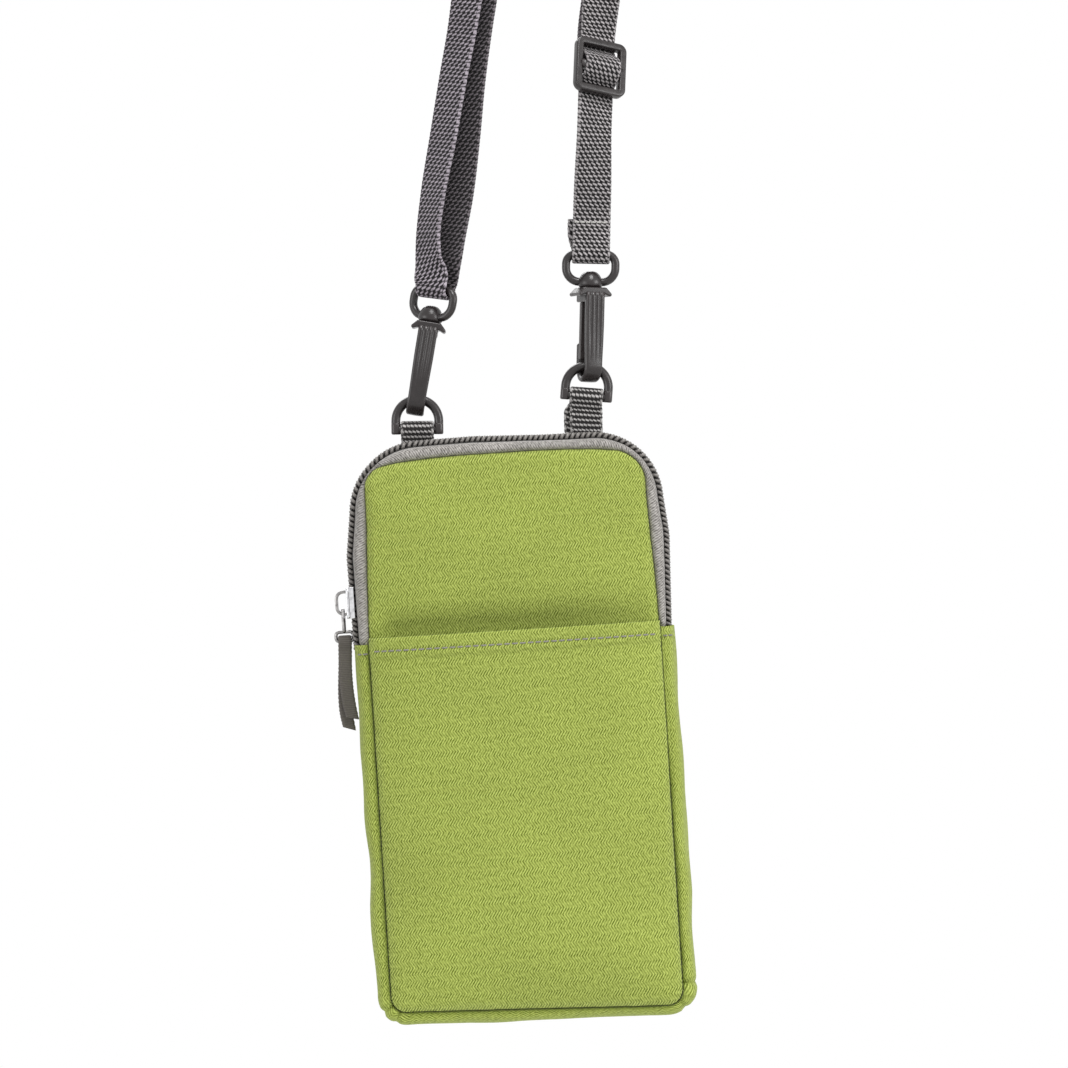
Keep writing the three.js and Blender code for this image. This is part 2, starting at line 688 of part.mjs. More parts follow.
function sliderPlate(low, high) {
  const end = SLIDER_LENGTH / 2;
  const outline = new THREE.Shape([
    new THREE.Vector2(-SLIDER_HALF_BOTTOM, -end), new THREE.Vector2(SLIDER_HALF_BOTTOM, -end),
    new THREE.Vector2(SLIDER_HALF_BOTTOM, 0), new THREE.Vector2(SLIDER_HALF_TOP, end),
    new THREE.Vector2(-SLIDER_HALF_TOP, end), new THREE.Vector2(-SLIDER_HALF_BOTTOM, 0),
  ]);
  const plate = new THREE.ExtrudeGeometry(outline, { depth: high - low, bevelEnabled: false });
  return plate.applyMatrix4(new THREE.Matrix4().makeBasis(
    new THREE.Vector3(0, 1, 0), new THREE.Vector3(0, 0, 1), new THREE.Vector3(1, 0, 0),
  )).translate(low, 0, 0);
}

const innerPlateTop = TAPE_RISE - TAPE - CLEARANCE;
const plateTop = SLIDER_TOP_FACE + SLIDER_PLATE;
const bridgeInner = plateTop + CROWN_HOLE;
const bridgeOuter = bridgeInner + CROWN_BRIDGE;

function crownBridge() {
  const half = CROWN_LENGTH / 2;
  const outline = new THREE.Shape();
  outline.moveTo(plateTop - CLEARANCE, -half);
  outline.lineTo(bridgeOuter - CROWN_ROUND, -half);
  outline.quadraticCurveTo(bridgeOuter, -half, bridgeOuter, -half + CROWN_ROUND);
  outline.lineTo(bridgeOuter, half - CROWN_ROUND);
  outline.quadraticCurveTo(bridgeOuter, half, bridgeOuter - CROWN_ROUND, half);
  outline.lineTo(plateTop - CLEARANCE, half);
  const hole = new THREE.Path();
  const inset = half - CROWN_BRIDGE;
  hole.moveTo(plateTop, -inset);
  hole.lineTo(plateTop, inset);
  hole.lineTo(bridgeInner - CROWN_CHAMFER, inset);
  hole.lineTo(bridgeInner, inset - CROWN_CHAMFER);
  hole.lineTo(bridgeInner, -inset + CROWN_CHAMFER);
  hole.lineTo(bridgeInner - CROWN_CHAMFER, -inset);
  outline.holes.push(hole);
  return slab(outline, -CROWN_WIDTH / 2, CROWN_WIDTH / 2);
}

function sliderFlange(side) {
  const outer = side * SLIDER_HALF_TOP;
  const inner = side * (SLIDER_HALF_TOP - SLIDER_FLANGE);
  return box([TAPE_RISE + CLEARANCE, Math.min(outer, inner), -SLIDER_LENGTH / 2],
    [SLIDER_TOP_FACE + SLIDER_PLATE / 2, Math.max(outer, inner), SLIDER_LENGTH / 2]);
}

place('zip_slider', join(
  sliderPlate(innerPlateTop - SLIDER_PLATE, innerPlateTop),
  sliderPlate(SLIDER_TOP_FACE, plateTop),
  box([innerPlateTop - SLIDER_PLATE / 2, -SLIDER_POST / 2, -SLIDER_LENGTH / 2 + SLIDER_POST_INSET],
    [SLIDER_TOP_FACE + SLIDER_PLATE / 2, SLIDER_POST / 2, SLIDER_LENGTH / 6]),
  sliderFlange(-1), sliderFlange(1), crownBridge(),
), CHROME, sliderFrame);

// Puller: an upper link round the crown and a lower link turned square to it for the ribbon
const pullerOut = (plateTop + bridgeInner) / 2;
const pullerRadius = PULLER_WIRE / 2;
const upperHalf = CROWN_WIDTH / 2 + CLEARANCE + PULLER_WIRE / 2;
const lowerHalf = RIBBON_WIDTH / 2 + CLEARANCE + PULLER_WIRE / 2;
const upperTop = -CROWN_LENGTH / 2 + CROWN_BRIDGE + CLEARANCE + pullerRadius;
const linkSplit = upperTop - UPPER_LINK;
const lowerBottom = linkSplit - LOWER_LINK;

function linkOutline(half, low, high) {
  const corner = LINK_CORNER;
  const path = new THREE.Path();
  path.absarc(half - corner, high - corner, corner, 0, Math.PI / 2);
  path.absarc(-half + corner, high - corner, corner, Math.PI / 2, Math.PI);
  path.absarc(-half + corner, low + corner, corner, Math.PI, 1.5 * Math.PI);
  path.absarc(half - corner, low + corner, corner, 1.5 * Math.PI, 2 * Math.PI);
  return openLoop(path.getPoints(LINK_STEPS));
}

// The points of a closed path with none given twice.
function openLoop(points) {
  const kept = points.filter((p, i) => i === 0 || p.distanceTo(points[i - 1]) > SAME_POINT);
  return kept[0].distanceTo(kept[kept.length - 1]) > SAME_POINT ? kept : kept.slice(0, -1);
}

const upperLink = wireLoop(linkOutline(upperHalf, linkSplit, upperTop), pullerRadius).rotateZ(Math.PI / 2);
const lowerLink = wireLoop(linkOutline(lowerHalf, lowerBottom, linkSplit), pullerRadius);
place('zip_puller', join(upperLink, lowerLink).translate(pullerOut, 0, 0), CHROME, sliderFrame);

// Ribbon tab, folded over the lower link's bottom wire
const foldRadius = pullerRadius + CLEARANCE + RIBBON / 2;
const leafPitch = (RIBBON + CLEARANCE) / 2;

function ribbonTab() {
  const line = [[leafPitch, -FRONT_LEAF], [leafPitch, -LEAF_PINCH * foldRadius]];
  for (let i = 0; i <= ARC_STEPS; i += 1) {
    const angle = Math.PI * (i / ARC_STEPS);
    line.push([foldRadius * Math.cos(angle), foldRadius * Math.sin(angle)]);
  }
  line.push([-leafPitch, -LEAF_PINCH * foldRadius], [-leafPitch, -BACK_LEAF]);
  const points = line.map(([y, z]) => new THREE.Vector3(0, y, z));
  const faces = tangents(points, false).map((t) => new THREE.Vector3(0, -t.z, t.y));
  return ribbon(points, faces, RIBBON_WIDTH, RIBBON);
}
place('zip_pull_tab', ribbonTab().translate(pullerOut, 0, lowerBottom), RIBBON_CLOTH, sliderFrame);

// Webbing tabs and D-rings

// Two legs tucked between lining and back panel, and a bend round the D-ring's bar.
function webbingTab(side) {
  const bar = barPlace(side);
  const bend = RING_RADIUS + CLEARANCE + TAB_WEBBING / 2;
  const leg = (TAB_WEBBING + CLEARANCE) / 2;
  const foot = SEAM_TOP - TAB_TUCK;
  const pinch = bar.z - TAB_PINCH * bend;
  const line = [[-leg, foot], [-leg, pinch]];
  for (let i = 0; i <= ARC_STEPS + 1; i += 1) {
    const angle = radians(90 + TAB_WRAP * (0.5 - i / (ARC_STEPS + 1)));
    line.push([bend * Math.cos(angle), bar.z + bend * Math.sin(angle)]);
  }
  line.push([leg, pinch], [leg, foot]);
  const points = line.map(([y, z]) => new THREE.Vector3(bar.x, HANG_Y + y, z));
  const faces = tangents(points, false).map((t) => new THREE.Vector3(0, -t.z, t.y));
  const geometry = ribbon(points, faces, TAB_WIDTH, TAB_WEBBING);
  return followBar(geometry, bar, radians(side.ringLean), foot, pinch);
}

// Turns the webbing little by little between two heights until it lies along a leaning bar.
function followBar(geometry, bar, lean, low, high) {
  const position = geometry.attributes.position;
  for (let i = 0; i < position.count; i += 1) {
    const across = position.getX(i) - bar.x;
    const above = position.getZ(i) - bar.z;
    const angle = lean * THREE.MathUtils.clamp((position.getZ(i) - low) / (high - low), 0, 1);
    position.setX(i, bar.x + across * Math.cos(angle) + above * Math.sin(angle));
    position.setZ(i, bar.z - across * Math.sin(angle) + above * Math.cos(angle));
  }
  return geometry;
}

function dRing(side) {
  const path = new THREE.Path();
  const shoulder = RING_REACH - RING_HALF;
  path.absarc(0, shoulder, RING_HALF, 0, Math.PI);
  path.absarc(-RING_HALF + RING_CORNER, RING_CORNER, RING_CORNER, Math.PI, 1.5 * Math.PI);
  path.absarc(RING_HALF - RING_CORNER, RING_CORNER, RING_CORNER, 1.5 * Math.PI, 2 * Math.PI);
  const ring = wireLoop(openLoop(path.getPoints(WIRE_STEPS)), RING_RADIUS);
  const bar = barPlace(side);
  return ring.rotateY(radians(side.ringLean)).translate(bar.x, HANG_Y, bar.z);
}

// Snap hooks

// Frame of a hook: origin on the wire in its throat, z along the hook, y towards its nose.
function hookFrame(side, turn) {
  const frame = new THREE.Group();
  const throat = throatPlace(side);
  frame.position.set(throat.x, HANG_Y, throat.z);
  frame.rotation.set(0, radians(side.hookLean), radians(turn), 'YXZ');
  frame.updateMatrix();
  return frame;
}

function hookProfile() {
  const outerRadius = (SPINE_BACK + NOSE_INNER + NOSE) / 2;
  const outerMiddle = outerRadius - SPINE_BACK;
  const innerRadius = THROAT_WIDTH / 2;
  const innerMiddle = SPINE_INNER + innerRadius;
  const outerZ = -JAW_DROP + outerRadius;
  const innerZ = -JAW_DROP + JAW + innerRadius;
  const headZ = HOOK_LENGTH - HEAD_HEIGHT;
  const shape = new THREE.Shape();
  shape.moveTo(-SPINE_BACK, headZ + HEAD_HEIGHT / 2);
  shape.lineTo(-SPINE_BACK, outerZ);
  shape.absarc(outerMiddle, outerZ, outerRadius, Math.PI, 2 * Math.PI);
  shape.lineTo(NOSE_INNER + NOSE, NOSE_RISE - NOSE / 2);
  shape.quadraticCurveTo(NOSE_INNER + NOSE, NOSE_RISE, NOSE_INNER + NOSE / 2, NOSE_RISE);
  shape.lineTo(NOSE_INNER, NOSE_RISE - NOSE / 2);
  shape.lineTo(NOSE_INNER, innerZ);
  shape.absarc(innerMiddle, innerZ, innerRadius, 0, -Math.PI, true);
  shape.lineTo(SPINE_INNER, headZ + HEAD_HEIGHT / 2);
  return shape;
}

// The flat J, full width at the spine and narrower round the throat.
function hookBody() {
  const outline = hookProfile().getPoints(ARC_STEPS).map((p) => [p.x, p.y]);
  const wide = sideProfile(outline, HOOK_WIDTH);
  const narrowing = (HOOK_WIDTH - HOOK_TIP_WIDTH) / 2;
  const bevels = [-1, 1].map((s) => {
    const edge = (s * HOOK_WIDTH) / 2;
    const inner = edge - s * narrowing;
    const outside = edge + s * HOOK_WIDTH;
    const reach = NOSE_RISE + 2 * NOSE;
    const flank = [[inner, -2 * JAW_DROP], [inner, NOSE_RISE], [edge, reach], [outside, reach],
      [outside, -2 * JAW_DROP]];
    const shape = new THREE.Shape(flank.map(([x, z]) => new THREE.Vector2(x, z)));
    return slab(shape, -2 * SPINE_BACK, 2 * SPINE_BACK);
  });
  const ridges = [-1, 1].map((s) => {
    const middle = (s * RIDGE_SPACING) / 2;
    const half = RIDGE_DEPTH;
    return box([middle - half, -2 * SPINE_BACK, NOSE_RISE + 3 * NOSE],
      [middle + half, -SPINE_BACK + RIDGE_DEPTH, HOOK_LENGTH - HEAD_HEIGHT - NOSE]);
  });
  return cut(wide, ...bevels, ...ridges);
}

// The head: a collar with two drooping wings, bored for the eye's stem and recessed for the stem's head.
function hookHead() {
  const half = HOOK_WIDTH / 2;
  const wing = WING_SPAN / 2;
  const base = HOOK_LENGTH - HEAD_HEIGHT;
  const right = [
    [half, base], [half, HOOK_LENGTH - WING_EDGE], [wing - WING_TIP, HOOK_LENGTH - WING_DROP],
    [wing, HOOK_LENGTH - WING_EDGE], [half + WING_ROOT, HOOK_LENGTH],
  ];
  const outline = [...right, ...right.map(([x, z]) => [-x, z]).reverse()];
  const shape = new THREE.Shape(outline.map(([x, z]) => new THREE.Vector2(x, z)));
  const seat = HOOK_LENGTH - STEM_SEAT;
  return {
    collar: slab(shape, -SPINE_BACK, HEAD_FRONT),
    bore: roundBar(STEM_RADIUS + STEM_PLAY, base, 2 * HOOK_LENGTH),
    recess: roundBar(STEM_RADIUS + STEM_HEAD + STEM_PLAY, base - CLEARANCE, seat),
  };
}

function roundBar(radius, low, high) {
  const bar = new THREE.CylinderGeometry(radius, radius, high - low, ROUND_SIDES);
  return bar.rotateX(Math.PI / 2).translate(0, 0, (low + high) / 2);
}

// The springy tongue, hung under the head and closing inside the nose.
function gate() {
  const top = HOOK_LENGTH - HEAD_HEIGHT - CLEARANCE;
  const outer = NOSE_INNER - CLEARANCE;
  const inner = outer - GATE;
  const profile = [[inner, GATE_LIFT], [outer, GATE_LIFT], [outer, top], [inner - GATE_ROOT, top]];
  return sideProfile(profile, HOOK_TIP_WIDTH);
}

// Swivel eye: a wire ring on a domed boss, with a stem through the collar and a head under it.
function swivelEye() {
  const half = (EYE_WIDTH - EYE_WIRE) / 2;
  const low = HOOK_LENGTH + SWIVEL_GAP + EYE_WIRE / 2;
  const path = new THREE.Path();
  const top = EYE_TOP_CORNER;
  const foot = EYE_BOTTOM_CORNER;
  path.absarc(half - top, EYE_TOP - top, top, 0, Math.PI / 2);
  path.absarc(-half + top, EYE_TOP - top, top, Math.PI / 2, Math.PI);
  path.absarc(-half + foot, low + foot, foot, Math.PI, 1.5 * Math.PI);
  path.absarc(half - foot, low + foot, foot, 1.5 * Math.PI, 2 * Math.PI);
  const ring = wireLoop(openLoop(path.getPoints(WIRE_STEPS)), EYE_WIRE / 2);
  const base = HOOK_LENGTH + SWIVEL_GAP;
  const headTop = HOOK_LENGTH - STEM_SEAT - CLEARANCE;
  const headRadius = STEM_RADIUS + STEM_HEAD;
  const outline = [
    [0, headTop - STEM_HEAD_HEIGHT], [headRadius, headTop - STEM_HEAD_HEIGHT], [headRadius, headTop],
    [STEM_RADIUS, headTop], [STEM_RADIUS, base],
    ...BOSS_DOME.map(([r, h]) => [BOSS_RADIUS * r, base + BOSS_HEIGHT * h]),
  ];
  const turned = new THREE.LatheGeometry(outline.map(([r, z]) => new THREE.Vector2(r, z)), ROUND_SIDES);
  return join(ring, turned.rotateX(Math.PI / 2));
}

// Strap ends in the eyes: a bend under the eye's top wire, with legs that close up above it.
function strapLoop(frontTop, backTop) {
  const square = new THREE.Vector3(0, 0, SQUARE_END);
  const line = [
    frontTop, frontTop.clone().sub(square), new THREE.Vector3(0, -LOOP_RADIUS, EYE_TOP + LOOP_RADIUS),
  ];
  for (let i = 0; i <= ARC_STEPS; i += 1) {
    const angle = Math.PI * (1 + i / ARC_STEPS);
    line.push(new THREE.Vector3(0, LOOP_RADIUS * Math.cos(angle), EYE_TOP + LOOP_RADIUS * Math.sin(angle)));
  }
  line.push(new THREE.Vector3(0, LOOP_RADIUS, EYE_TOP + LOOP_RADIUS), backTop.clone().sub(square), backTop);
  const faces = tangents(line, false).map((t) => new THREE.Vector3(0, -t.z, t.y));
  return ribbon(line, faces, STRAP_WIDTH, STRAP);
}

const frontLegTop = new THREE.Vector3(0, -LAYER_PITCH / 2, EYE_TOP + LOOP_LEG);
const leftBackTop = new THREE.Vector3(BACK_LAYER_SLIP, LAYER_PITCH / 2, EYE_TOP + LOOP_LEG);
const rightTailTop = new THREE.Vector3(TAIL_SLIP, LAYER_PITCH / 2, EYE_TOP + TAIL_LEG);

const leftEyeFrame = hookFrame(LEFT, LEFT.eyeTurn);
const rightEyeFrame = hookFrame(RIGHT, RIGHT.eyeTurn);

function hangHook(side, eyeFrame) {
  const frame = hookFrame(side, side.hookTurn);
  const head = hookHead();
  const body = cut(join(hookBody(), head.collar), head.bore, head.recess);
  bag.add(frame, eyeFrame);
  place(`${side.name}_tab`, webbingTab(side), TAB_CLOTH);
  place(`${side.name}_d_ring`, dRing(side), DARK_PLASTIC);
  place(`${side.name}_hook`, body, DARK_PLASTIC, frame);
  place(`${side.name}_gate`, gate(), DARK_PLASTIC, frame);
  place(`${side.name}_swivel_eye`, swivelEye(), DARK_PLASTIC, eyeFrame);
}
hangHook(LEFT, leftEyeFrame);
hangHook(RIGHT, rightEyeFrame);
place('left_strap_loop', strapLoop(frontLegTop, leftBackTop), STRAP_CLOTH, leftEyeFrame);
place('right_strap_end', strapLoop(frontLegTop, rightTailTop), STRAP_CLOTH, rightEyeFrame);

// Slide adjuster

const behindBars = GLIDE_DEPTH / 2 + CLEARANCE + STRAP / 2;
const glide = new THREE.Group();
glide.position.set(GLIDE_PLACE.x, HANG_Y - LAYER_PITCH / 2 - behindBars, SEAM_TOP + GLIDE_PLACE.rise);
glide.rotation.set(radians(GLIDE_PLACE.pitch), radians(GLIDE_PLACE.lean), radians(GLIDE_PLACE.turn), 'YXZ');
glide.updateMatrix();
bag.add(glide);

const slotHeight = (GLIDE_HEIGHT - 2 * GLIDE_END_BAR - GLIDE_CENTRE_BAR) / 2;
const slotHalf = STRAP_WIDTH / 2 + GLIDE_PLAY;

function rectangle(path, half, low, high, corner) {
  path.moveTo(half, low + corner);
  path.absarc(half - corner, high - corner, corner, 0, Math.PI / 2);
  path.absarc(-half + corner, high - corner, corner, Math.PI / 2, Math.PI);
  path.absarc(-half + corner, low + corner, corner, Math.PI, 1.5 * Math.PI);
  path.absarc(half - corner, low + corner, corner, 1.5 * Math.PI, 2 * Math.PI);
  return path;
}

function triGlide() {
  const end = GLIDE_HEIGHT / 2;
  const frame = rectangle(new THREE.Shape(), GLIDE_WIDTH / 2, -end, end, GLIDE_CORNER);
  const bar = GLIDE_CENTRE_BAR / 2;
  for (const low of [bar, -bar - slotHeight]) {
    frame.holes.push(new THREE.Path([
      new THREE.Vector2(-slotHalf, low), new THREE.Vector2(slotHalf, low),
      new THREE.Vector2(slotHalf, low + slotHeight), new THREE.Vector2(-slotHalf, low + slotHeight),
    ]));
  }
  return slab(frame, -GLIDE_DEPTH / 2, GLIDE_DEPTH / 2);
}
place('tri_glide', triGlide(), DARK_PLASTIC, glide);

// The through strand: behind the lower bar, over the centre bar, behind the upper bar.
const weaveEnd = GLIDE_HEIGHT / 2 + STRAP;
const barEdge = GLIDE_CENTRE_BAR / 2 + CLEARANCE;
const slotEdge = GLIDE_CENTRE_BAR / 2 + slotHeight - CLEARANCE;
const weaveLine = [
  [behindBars, -weaveEnd], [behindBars, -slotEdge], [-behindBars, -barEdge], [-behindBars, barEdge],
  [behindBars, slotEdge], [behindBars, weaveEnd],
];

// Flat webbing with mitred bends, along a line of [y, z].
function bentStrip(line) {
  const outline = [...offsetLine(line, STRAP / 2), ...offsetLine(line, -STRAP / 2).reverse()];
  return sideProfile(outline, STRAP_WIDTH);
}
place('strap_weave', bentStrip(weaveLine), STRAP_CLOTH, glide);

// The sewn end lies behind the centre bar and climbs behind the through strand.
const sewnLine = [
  [behindBars, -barEdge], [behindBars, barEdge], [behindBars + LAYER_PITCH, slotEdge],
  [behindBars + LAYER_PITCH, slotEdge + SEWN_LAP],
];
place('strap_sewn_end', bentStrip(sewnLine), STRAP_CLOTH, glide);

// Strap runs

function inFrame(frame, vector) {
  return vector.clone().applyMatrix4(frame.matrix);
}

// Face direction on the left and right strands, and round the crown.
function strandFace(sign, turn) {
  return new THREE.Vector3(sign * Math.sin(radians(turn)), -Math.cos(radians(turn)), 0);
}

// The chosen points of a strand with even steps between them.
function smoothRoute(route) {
  const curve = new THREE.CatmullRomCurve3(route.map((stop) => new THREE.Vector3(...stop)));
  return curve.getPoints((route.length - 1) * ROUTE_STEPS).map((p) => [p.x, p.y, p.z]);
}

function strandPoints(route, sign, layer) {
  return smoothRoute(route).map(([x, rise, turn]) => {
    const face = strandFace(sign, turn);
    const side = new THREE.Vector3(-face.y, face.x, 0);
    const slip = sign < 0 ? BACK_LAYER_SLIP * Math.cos(radians(turn)) * layer : 0;
    const point = new THREE.Vector3(x, HANG_Y, SEAM_TOP + rise).addScaledVector(side, slip);
    return { point: point.addScaledVector(face, -LAYER_PITCH * (layer - 0.5)), face };
  });
}

const crownZ = SEAM_TOP + CROWN.rise;

function crownPoints(layer) {
  const radius = CROWN.pegRadius + STRAP / 2 + (1 - layer) * LAYER_PITCH;
  const from = 180 - CROWN.leftLean;
  const to = -CROWN.rightLean;
  return Array.from({ length: CROWN.steps + 1 }, (_, i) => {
    const angle = radians(from + ((to - from) * i) / CROWN.steps);
    const face = new THREE.Vector3(Math.cos(angle), 0, Math.sin(angle));
    const point = new THREE.Vector3(CROWN.x, HANG_Y, crownZ).addScaledVector(face, radius);
    return { point, face };
  });
}

function strapRun(stations) {
  return ribbon(stations.map((s) => s.point), stations.map((s) => s.face), STRAP_WIDTH, STRAP);
}

// Where a run leaves another strap piece: two points in that piece's frame, so that it starts square to it.
function runEnd(frame, tip, face, away) {
  const near = tip.clone().addScaledVector(new THREE.Vector3(0, 0, away), CLEARANCE);
  const far = tip.clone().addScaledVector(new THREE.Vector3(0, 0, away), CLEARANCE + SQUARE_END);
  return [near, far].map((point) => ({ point: inFrame(frame, point), face }));
}

const leftFace = strandFace(-1, -LEFT.eyeTurn);
const straightFace = strandFace(1, 0);
const glideFace = new THREE.Vector3(0, -1, 0).applyEuler(glide.rotation);
const weaveTop = new THREE.Vector3(0, behindBars, weaveEnd);
const weaveBottom = new THREE.Vector3(0, behindBars, -weaveEnd);
const sewnTop = new THREE.Vector3(0, behindBars + LAYER_PITCH, slotEdge + SEWN_LAP);

place('strap_front_layer', strapRun([
  ...runEnd(leftEyeFrame, frontLegTop, leftFace, 1),
  ...strandPoints(LEFT_ROUTE, -1, 0), ...crownPoints(0), ...strandPoints(RIGHT_ROUTE, 1, 0),
  ...runEnd(glide, weaveTop, glideFace, 1).reverse(),
]), STRAP_CLOTH);
place('strap_back_layer', strapRun([
  ...runEnd(leftEyeFrame, leftBackTop, leftFace, 1),
  ...strandPoints(LEFT_ROUTE, -1, 1), ...crownPoints(1), ...strandPoints(RIGHT_ROUTE, 1, 1),
  ...runEnd(glide, sewnTop, glideFace, 1).reverse(),
]), STRAP_CLOTH);
place('strap_lower_run', strapRun([
  ...runEnd(rightEyeFrame, frontLegTop, straightFace, 1),
  ...runEnd(glide, weaveBottom, glideFace, -1).reverse(),
]), STRAP_CLOTH);

// Belt loop: a strip sewn flat at both ends and standing off between them.
function beltLoop() {
  const end = BELT_LOOP_HEIGHT / 2;
  const flat = end - BELT_LOOP_SEWN;
  const arch = flat - BELT_LOOP_SLOPE;
  const face = BACK_OUT + CLEARANCE + BELT_LOOP_WEBBING / 2;
  const line = [
    [face, -end], [face, -flat], [face + BELT_LOOP_STANDOFF, -arch], [face + BELT_LOOP_STANDOFF, arch],
    [face, flat], [face, end],
  ];
  const half = BELT_LOOP_WEBBING / 2;
  const outline = [...offsetLine(line, half), ...offsetLine(line, -half).reverse()];
  return sideProfile(outline, BELT_LOOP_WIDTH).translate(0, 0, BELT_LOOP_MIDDLE);
}
place('belt_loop', beltLoop(), GREEN_FABRIC);

// The part's origin is where the strap's inner layer rests on what it hangs from.
const pouch = new THREE.Group();
bag.position.set(-CROWN.x, -HANG_Y, -crownZ - CROWN.pegRadius);
pouch.add(bag);

export default pouch;
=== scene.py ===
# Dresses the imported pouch: padded fabric, zip, webbing strap and moulded plastic.
# Sizes are in millimetres in the bag's frame, x right, y back and z up from its underside,
# until a mesh is made.
from math import cos, dist, pi, radians, sin

import bmesh
import bpy
import numpy as np
from mathutils import Matrix, Vector, noise


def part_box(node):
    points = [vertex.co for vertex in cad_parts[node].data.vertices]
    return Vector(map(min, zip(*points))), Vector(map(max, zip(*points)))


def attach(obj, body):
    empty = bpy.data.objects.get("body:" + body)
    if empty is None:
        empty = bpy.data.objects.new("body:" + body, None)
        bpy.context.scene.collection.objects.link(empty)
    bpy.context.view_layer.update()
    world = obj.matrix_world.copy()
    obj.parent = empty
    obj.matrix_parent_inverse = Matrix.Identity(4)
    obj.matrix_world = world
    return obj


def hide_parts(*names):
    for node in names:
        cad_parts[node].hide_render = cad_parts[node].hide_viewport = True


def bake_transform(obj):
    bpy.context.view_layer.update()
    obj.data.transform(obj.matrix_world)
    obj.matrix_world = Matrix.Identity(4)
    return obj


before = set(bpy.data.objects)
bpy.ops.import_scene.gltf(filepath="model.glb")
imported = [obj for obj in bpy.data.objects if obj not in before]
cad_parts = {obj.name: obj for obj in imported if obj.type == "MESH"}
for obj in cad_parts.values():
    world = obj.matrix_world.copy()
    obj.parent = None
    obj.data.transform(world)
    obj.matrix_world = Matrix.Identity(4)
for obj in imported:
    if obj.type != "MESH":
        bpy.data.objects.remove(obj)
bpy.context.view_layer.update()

# The bag's frame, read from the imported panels
MM = 0.001
PANEL_LOW, PANEL_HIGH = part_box("back_panel")
ORIGIN = Vector((
    (PANEL_LOW[0] + PANEL_HIGH[0]) / 2,
    (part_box("front_lining")[1][1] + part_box("back_lining")[0][1]) / 2,
    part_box("gusset")[0][2],
))


def span(node, axis):
    """Lowest and highest place of a CAD node along an axis, in the bag's frame."""
    low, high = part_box(node)
    return (low[axis] - ORIGIN[axis]) / MM, (high[axis] - ORIGIN[axis]) / MM


SEAM_HALF = span("back_panel", 0)[1]
SEAM_BOTTOM, SEAM_TOP = span("back_panel", 2)
BACK_OUT = span("back_panel", 1)[1]
HEM_Z = span("front_pocket", 2)[1]
ZIP_END_Z = span("zip_tape_left_end", 2)[0]
FOLD_Z = span("front_panel", 2)[0]
LINING_FACE = span("back_lining", 1)[0]
HANG_Y = sum(span("left_d_ring", 1)) / 2
SLIDER_Z = sum(span("zip_slider", 2)) / 2

# Fabric
TOP_RADIUS = 18
BOTTOM_RADIUS = 5
FRONT_OUT = 10.5
FABRIC = 0.9
SEAM_SINK = 3.4
SEAM_ROLL = 3.2
FRONT_CROWN = 1.8
BACK_CROWN = 0.7
CROWN_RUN = 30
POCKET_DEPTH = 5
POCKET_RUN = 22
HEM_STITCH_DROP = 4.2

# Zip
TOOTH_PITCH = 1.66

# Webbing
STRAP_WIDTH = 12
STRAP = 1.3
LAYER_PITCH = 2.5
LOOP_RADIUS = 2.525
LOOP_LEG = 14
TAIL_LEG = 11
TAIL_SLIP = -1.6
TAB_WIDTH = 10.4
TAB_WEBBING = 1.1

# Hooks, rings and eyes, with heights along the hook from the wire in its throat
RING_WIRE = 2.9
RING_INNER_WIDTH = 10.8
RING_HEIGHT = 12.6
RING_CORNER = 1.6
RING_REACH = RING_HEIGHT - RING_WIRE
HOOK_WIDTH = 6.2
SPINE_BACK = 5.6
SPINE = 2.4
THROAT_WIDTH = 6.4
NOSE = 1.9
JAW = 1.9
JAW_DROP = 5.2
HOOK_LENGTH = 25
HEAD_HEIGHT = 4.6
HEAD_FRONT = 4.3
WING_SPAN = 11.4
WING_DROP = 3
GATE = 1.7
GATE_LIFT = 2.1
EYE_WIRE = 2.65
EYE_WIDTH = 18.4
EYE_HEIGHT = 11.6
EYE_TOP_CORNER = 3.2
EYE_BOTTOM_CORNER = 4.4
BOSS_RADIUS = 3.8
BOSS_HEIGHT = 4.7
SWIVEL_GAP = 0.5
EYE_TOP = HOOK_LENGTH + SWIVEL_GAP + EYE_HEIGHT - EYE_WIRE / 2

# Where the hung pieces are: throat of each hook, leans and turns in degrees
LEFT = {"name": "left", "x": -26.4, "z": SEAM_TOP + 17.6, "hook_lean": 12.9, "hook_turn": 0,
        "ring_lean": 3, "eye_turn": -36, "tab_slip": (0, 0.3)}
RIGHT = {"name": "right", "x": 28.9, "z": SEAM_TOP + 24.8, "hook_lean": 4.84, "hook_turn": 20,
         "ring_lean": 8, "eye_turn": 0, "tab_slip": (0.4, -1.5)}
GLIDE = {"x": 38.4, "z": SEAM_TOP + 119.3, "lean": 6, "pitch": -18, "turn": 24}
GLIDE_WIDTH = 17.4
GLIDE_HEIGHT = 18.4
GLIDE_DEPTH = 3
GLIDE_END_BAR = 2.5
GLIDE_CENTRE_BAR = 3
GLIDE_CORNER = 2.6

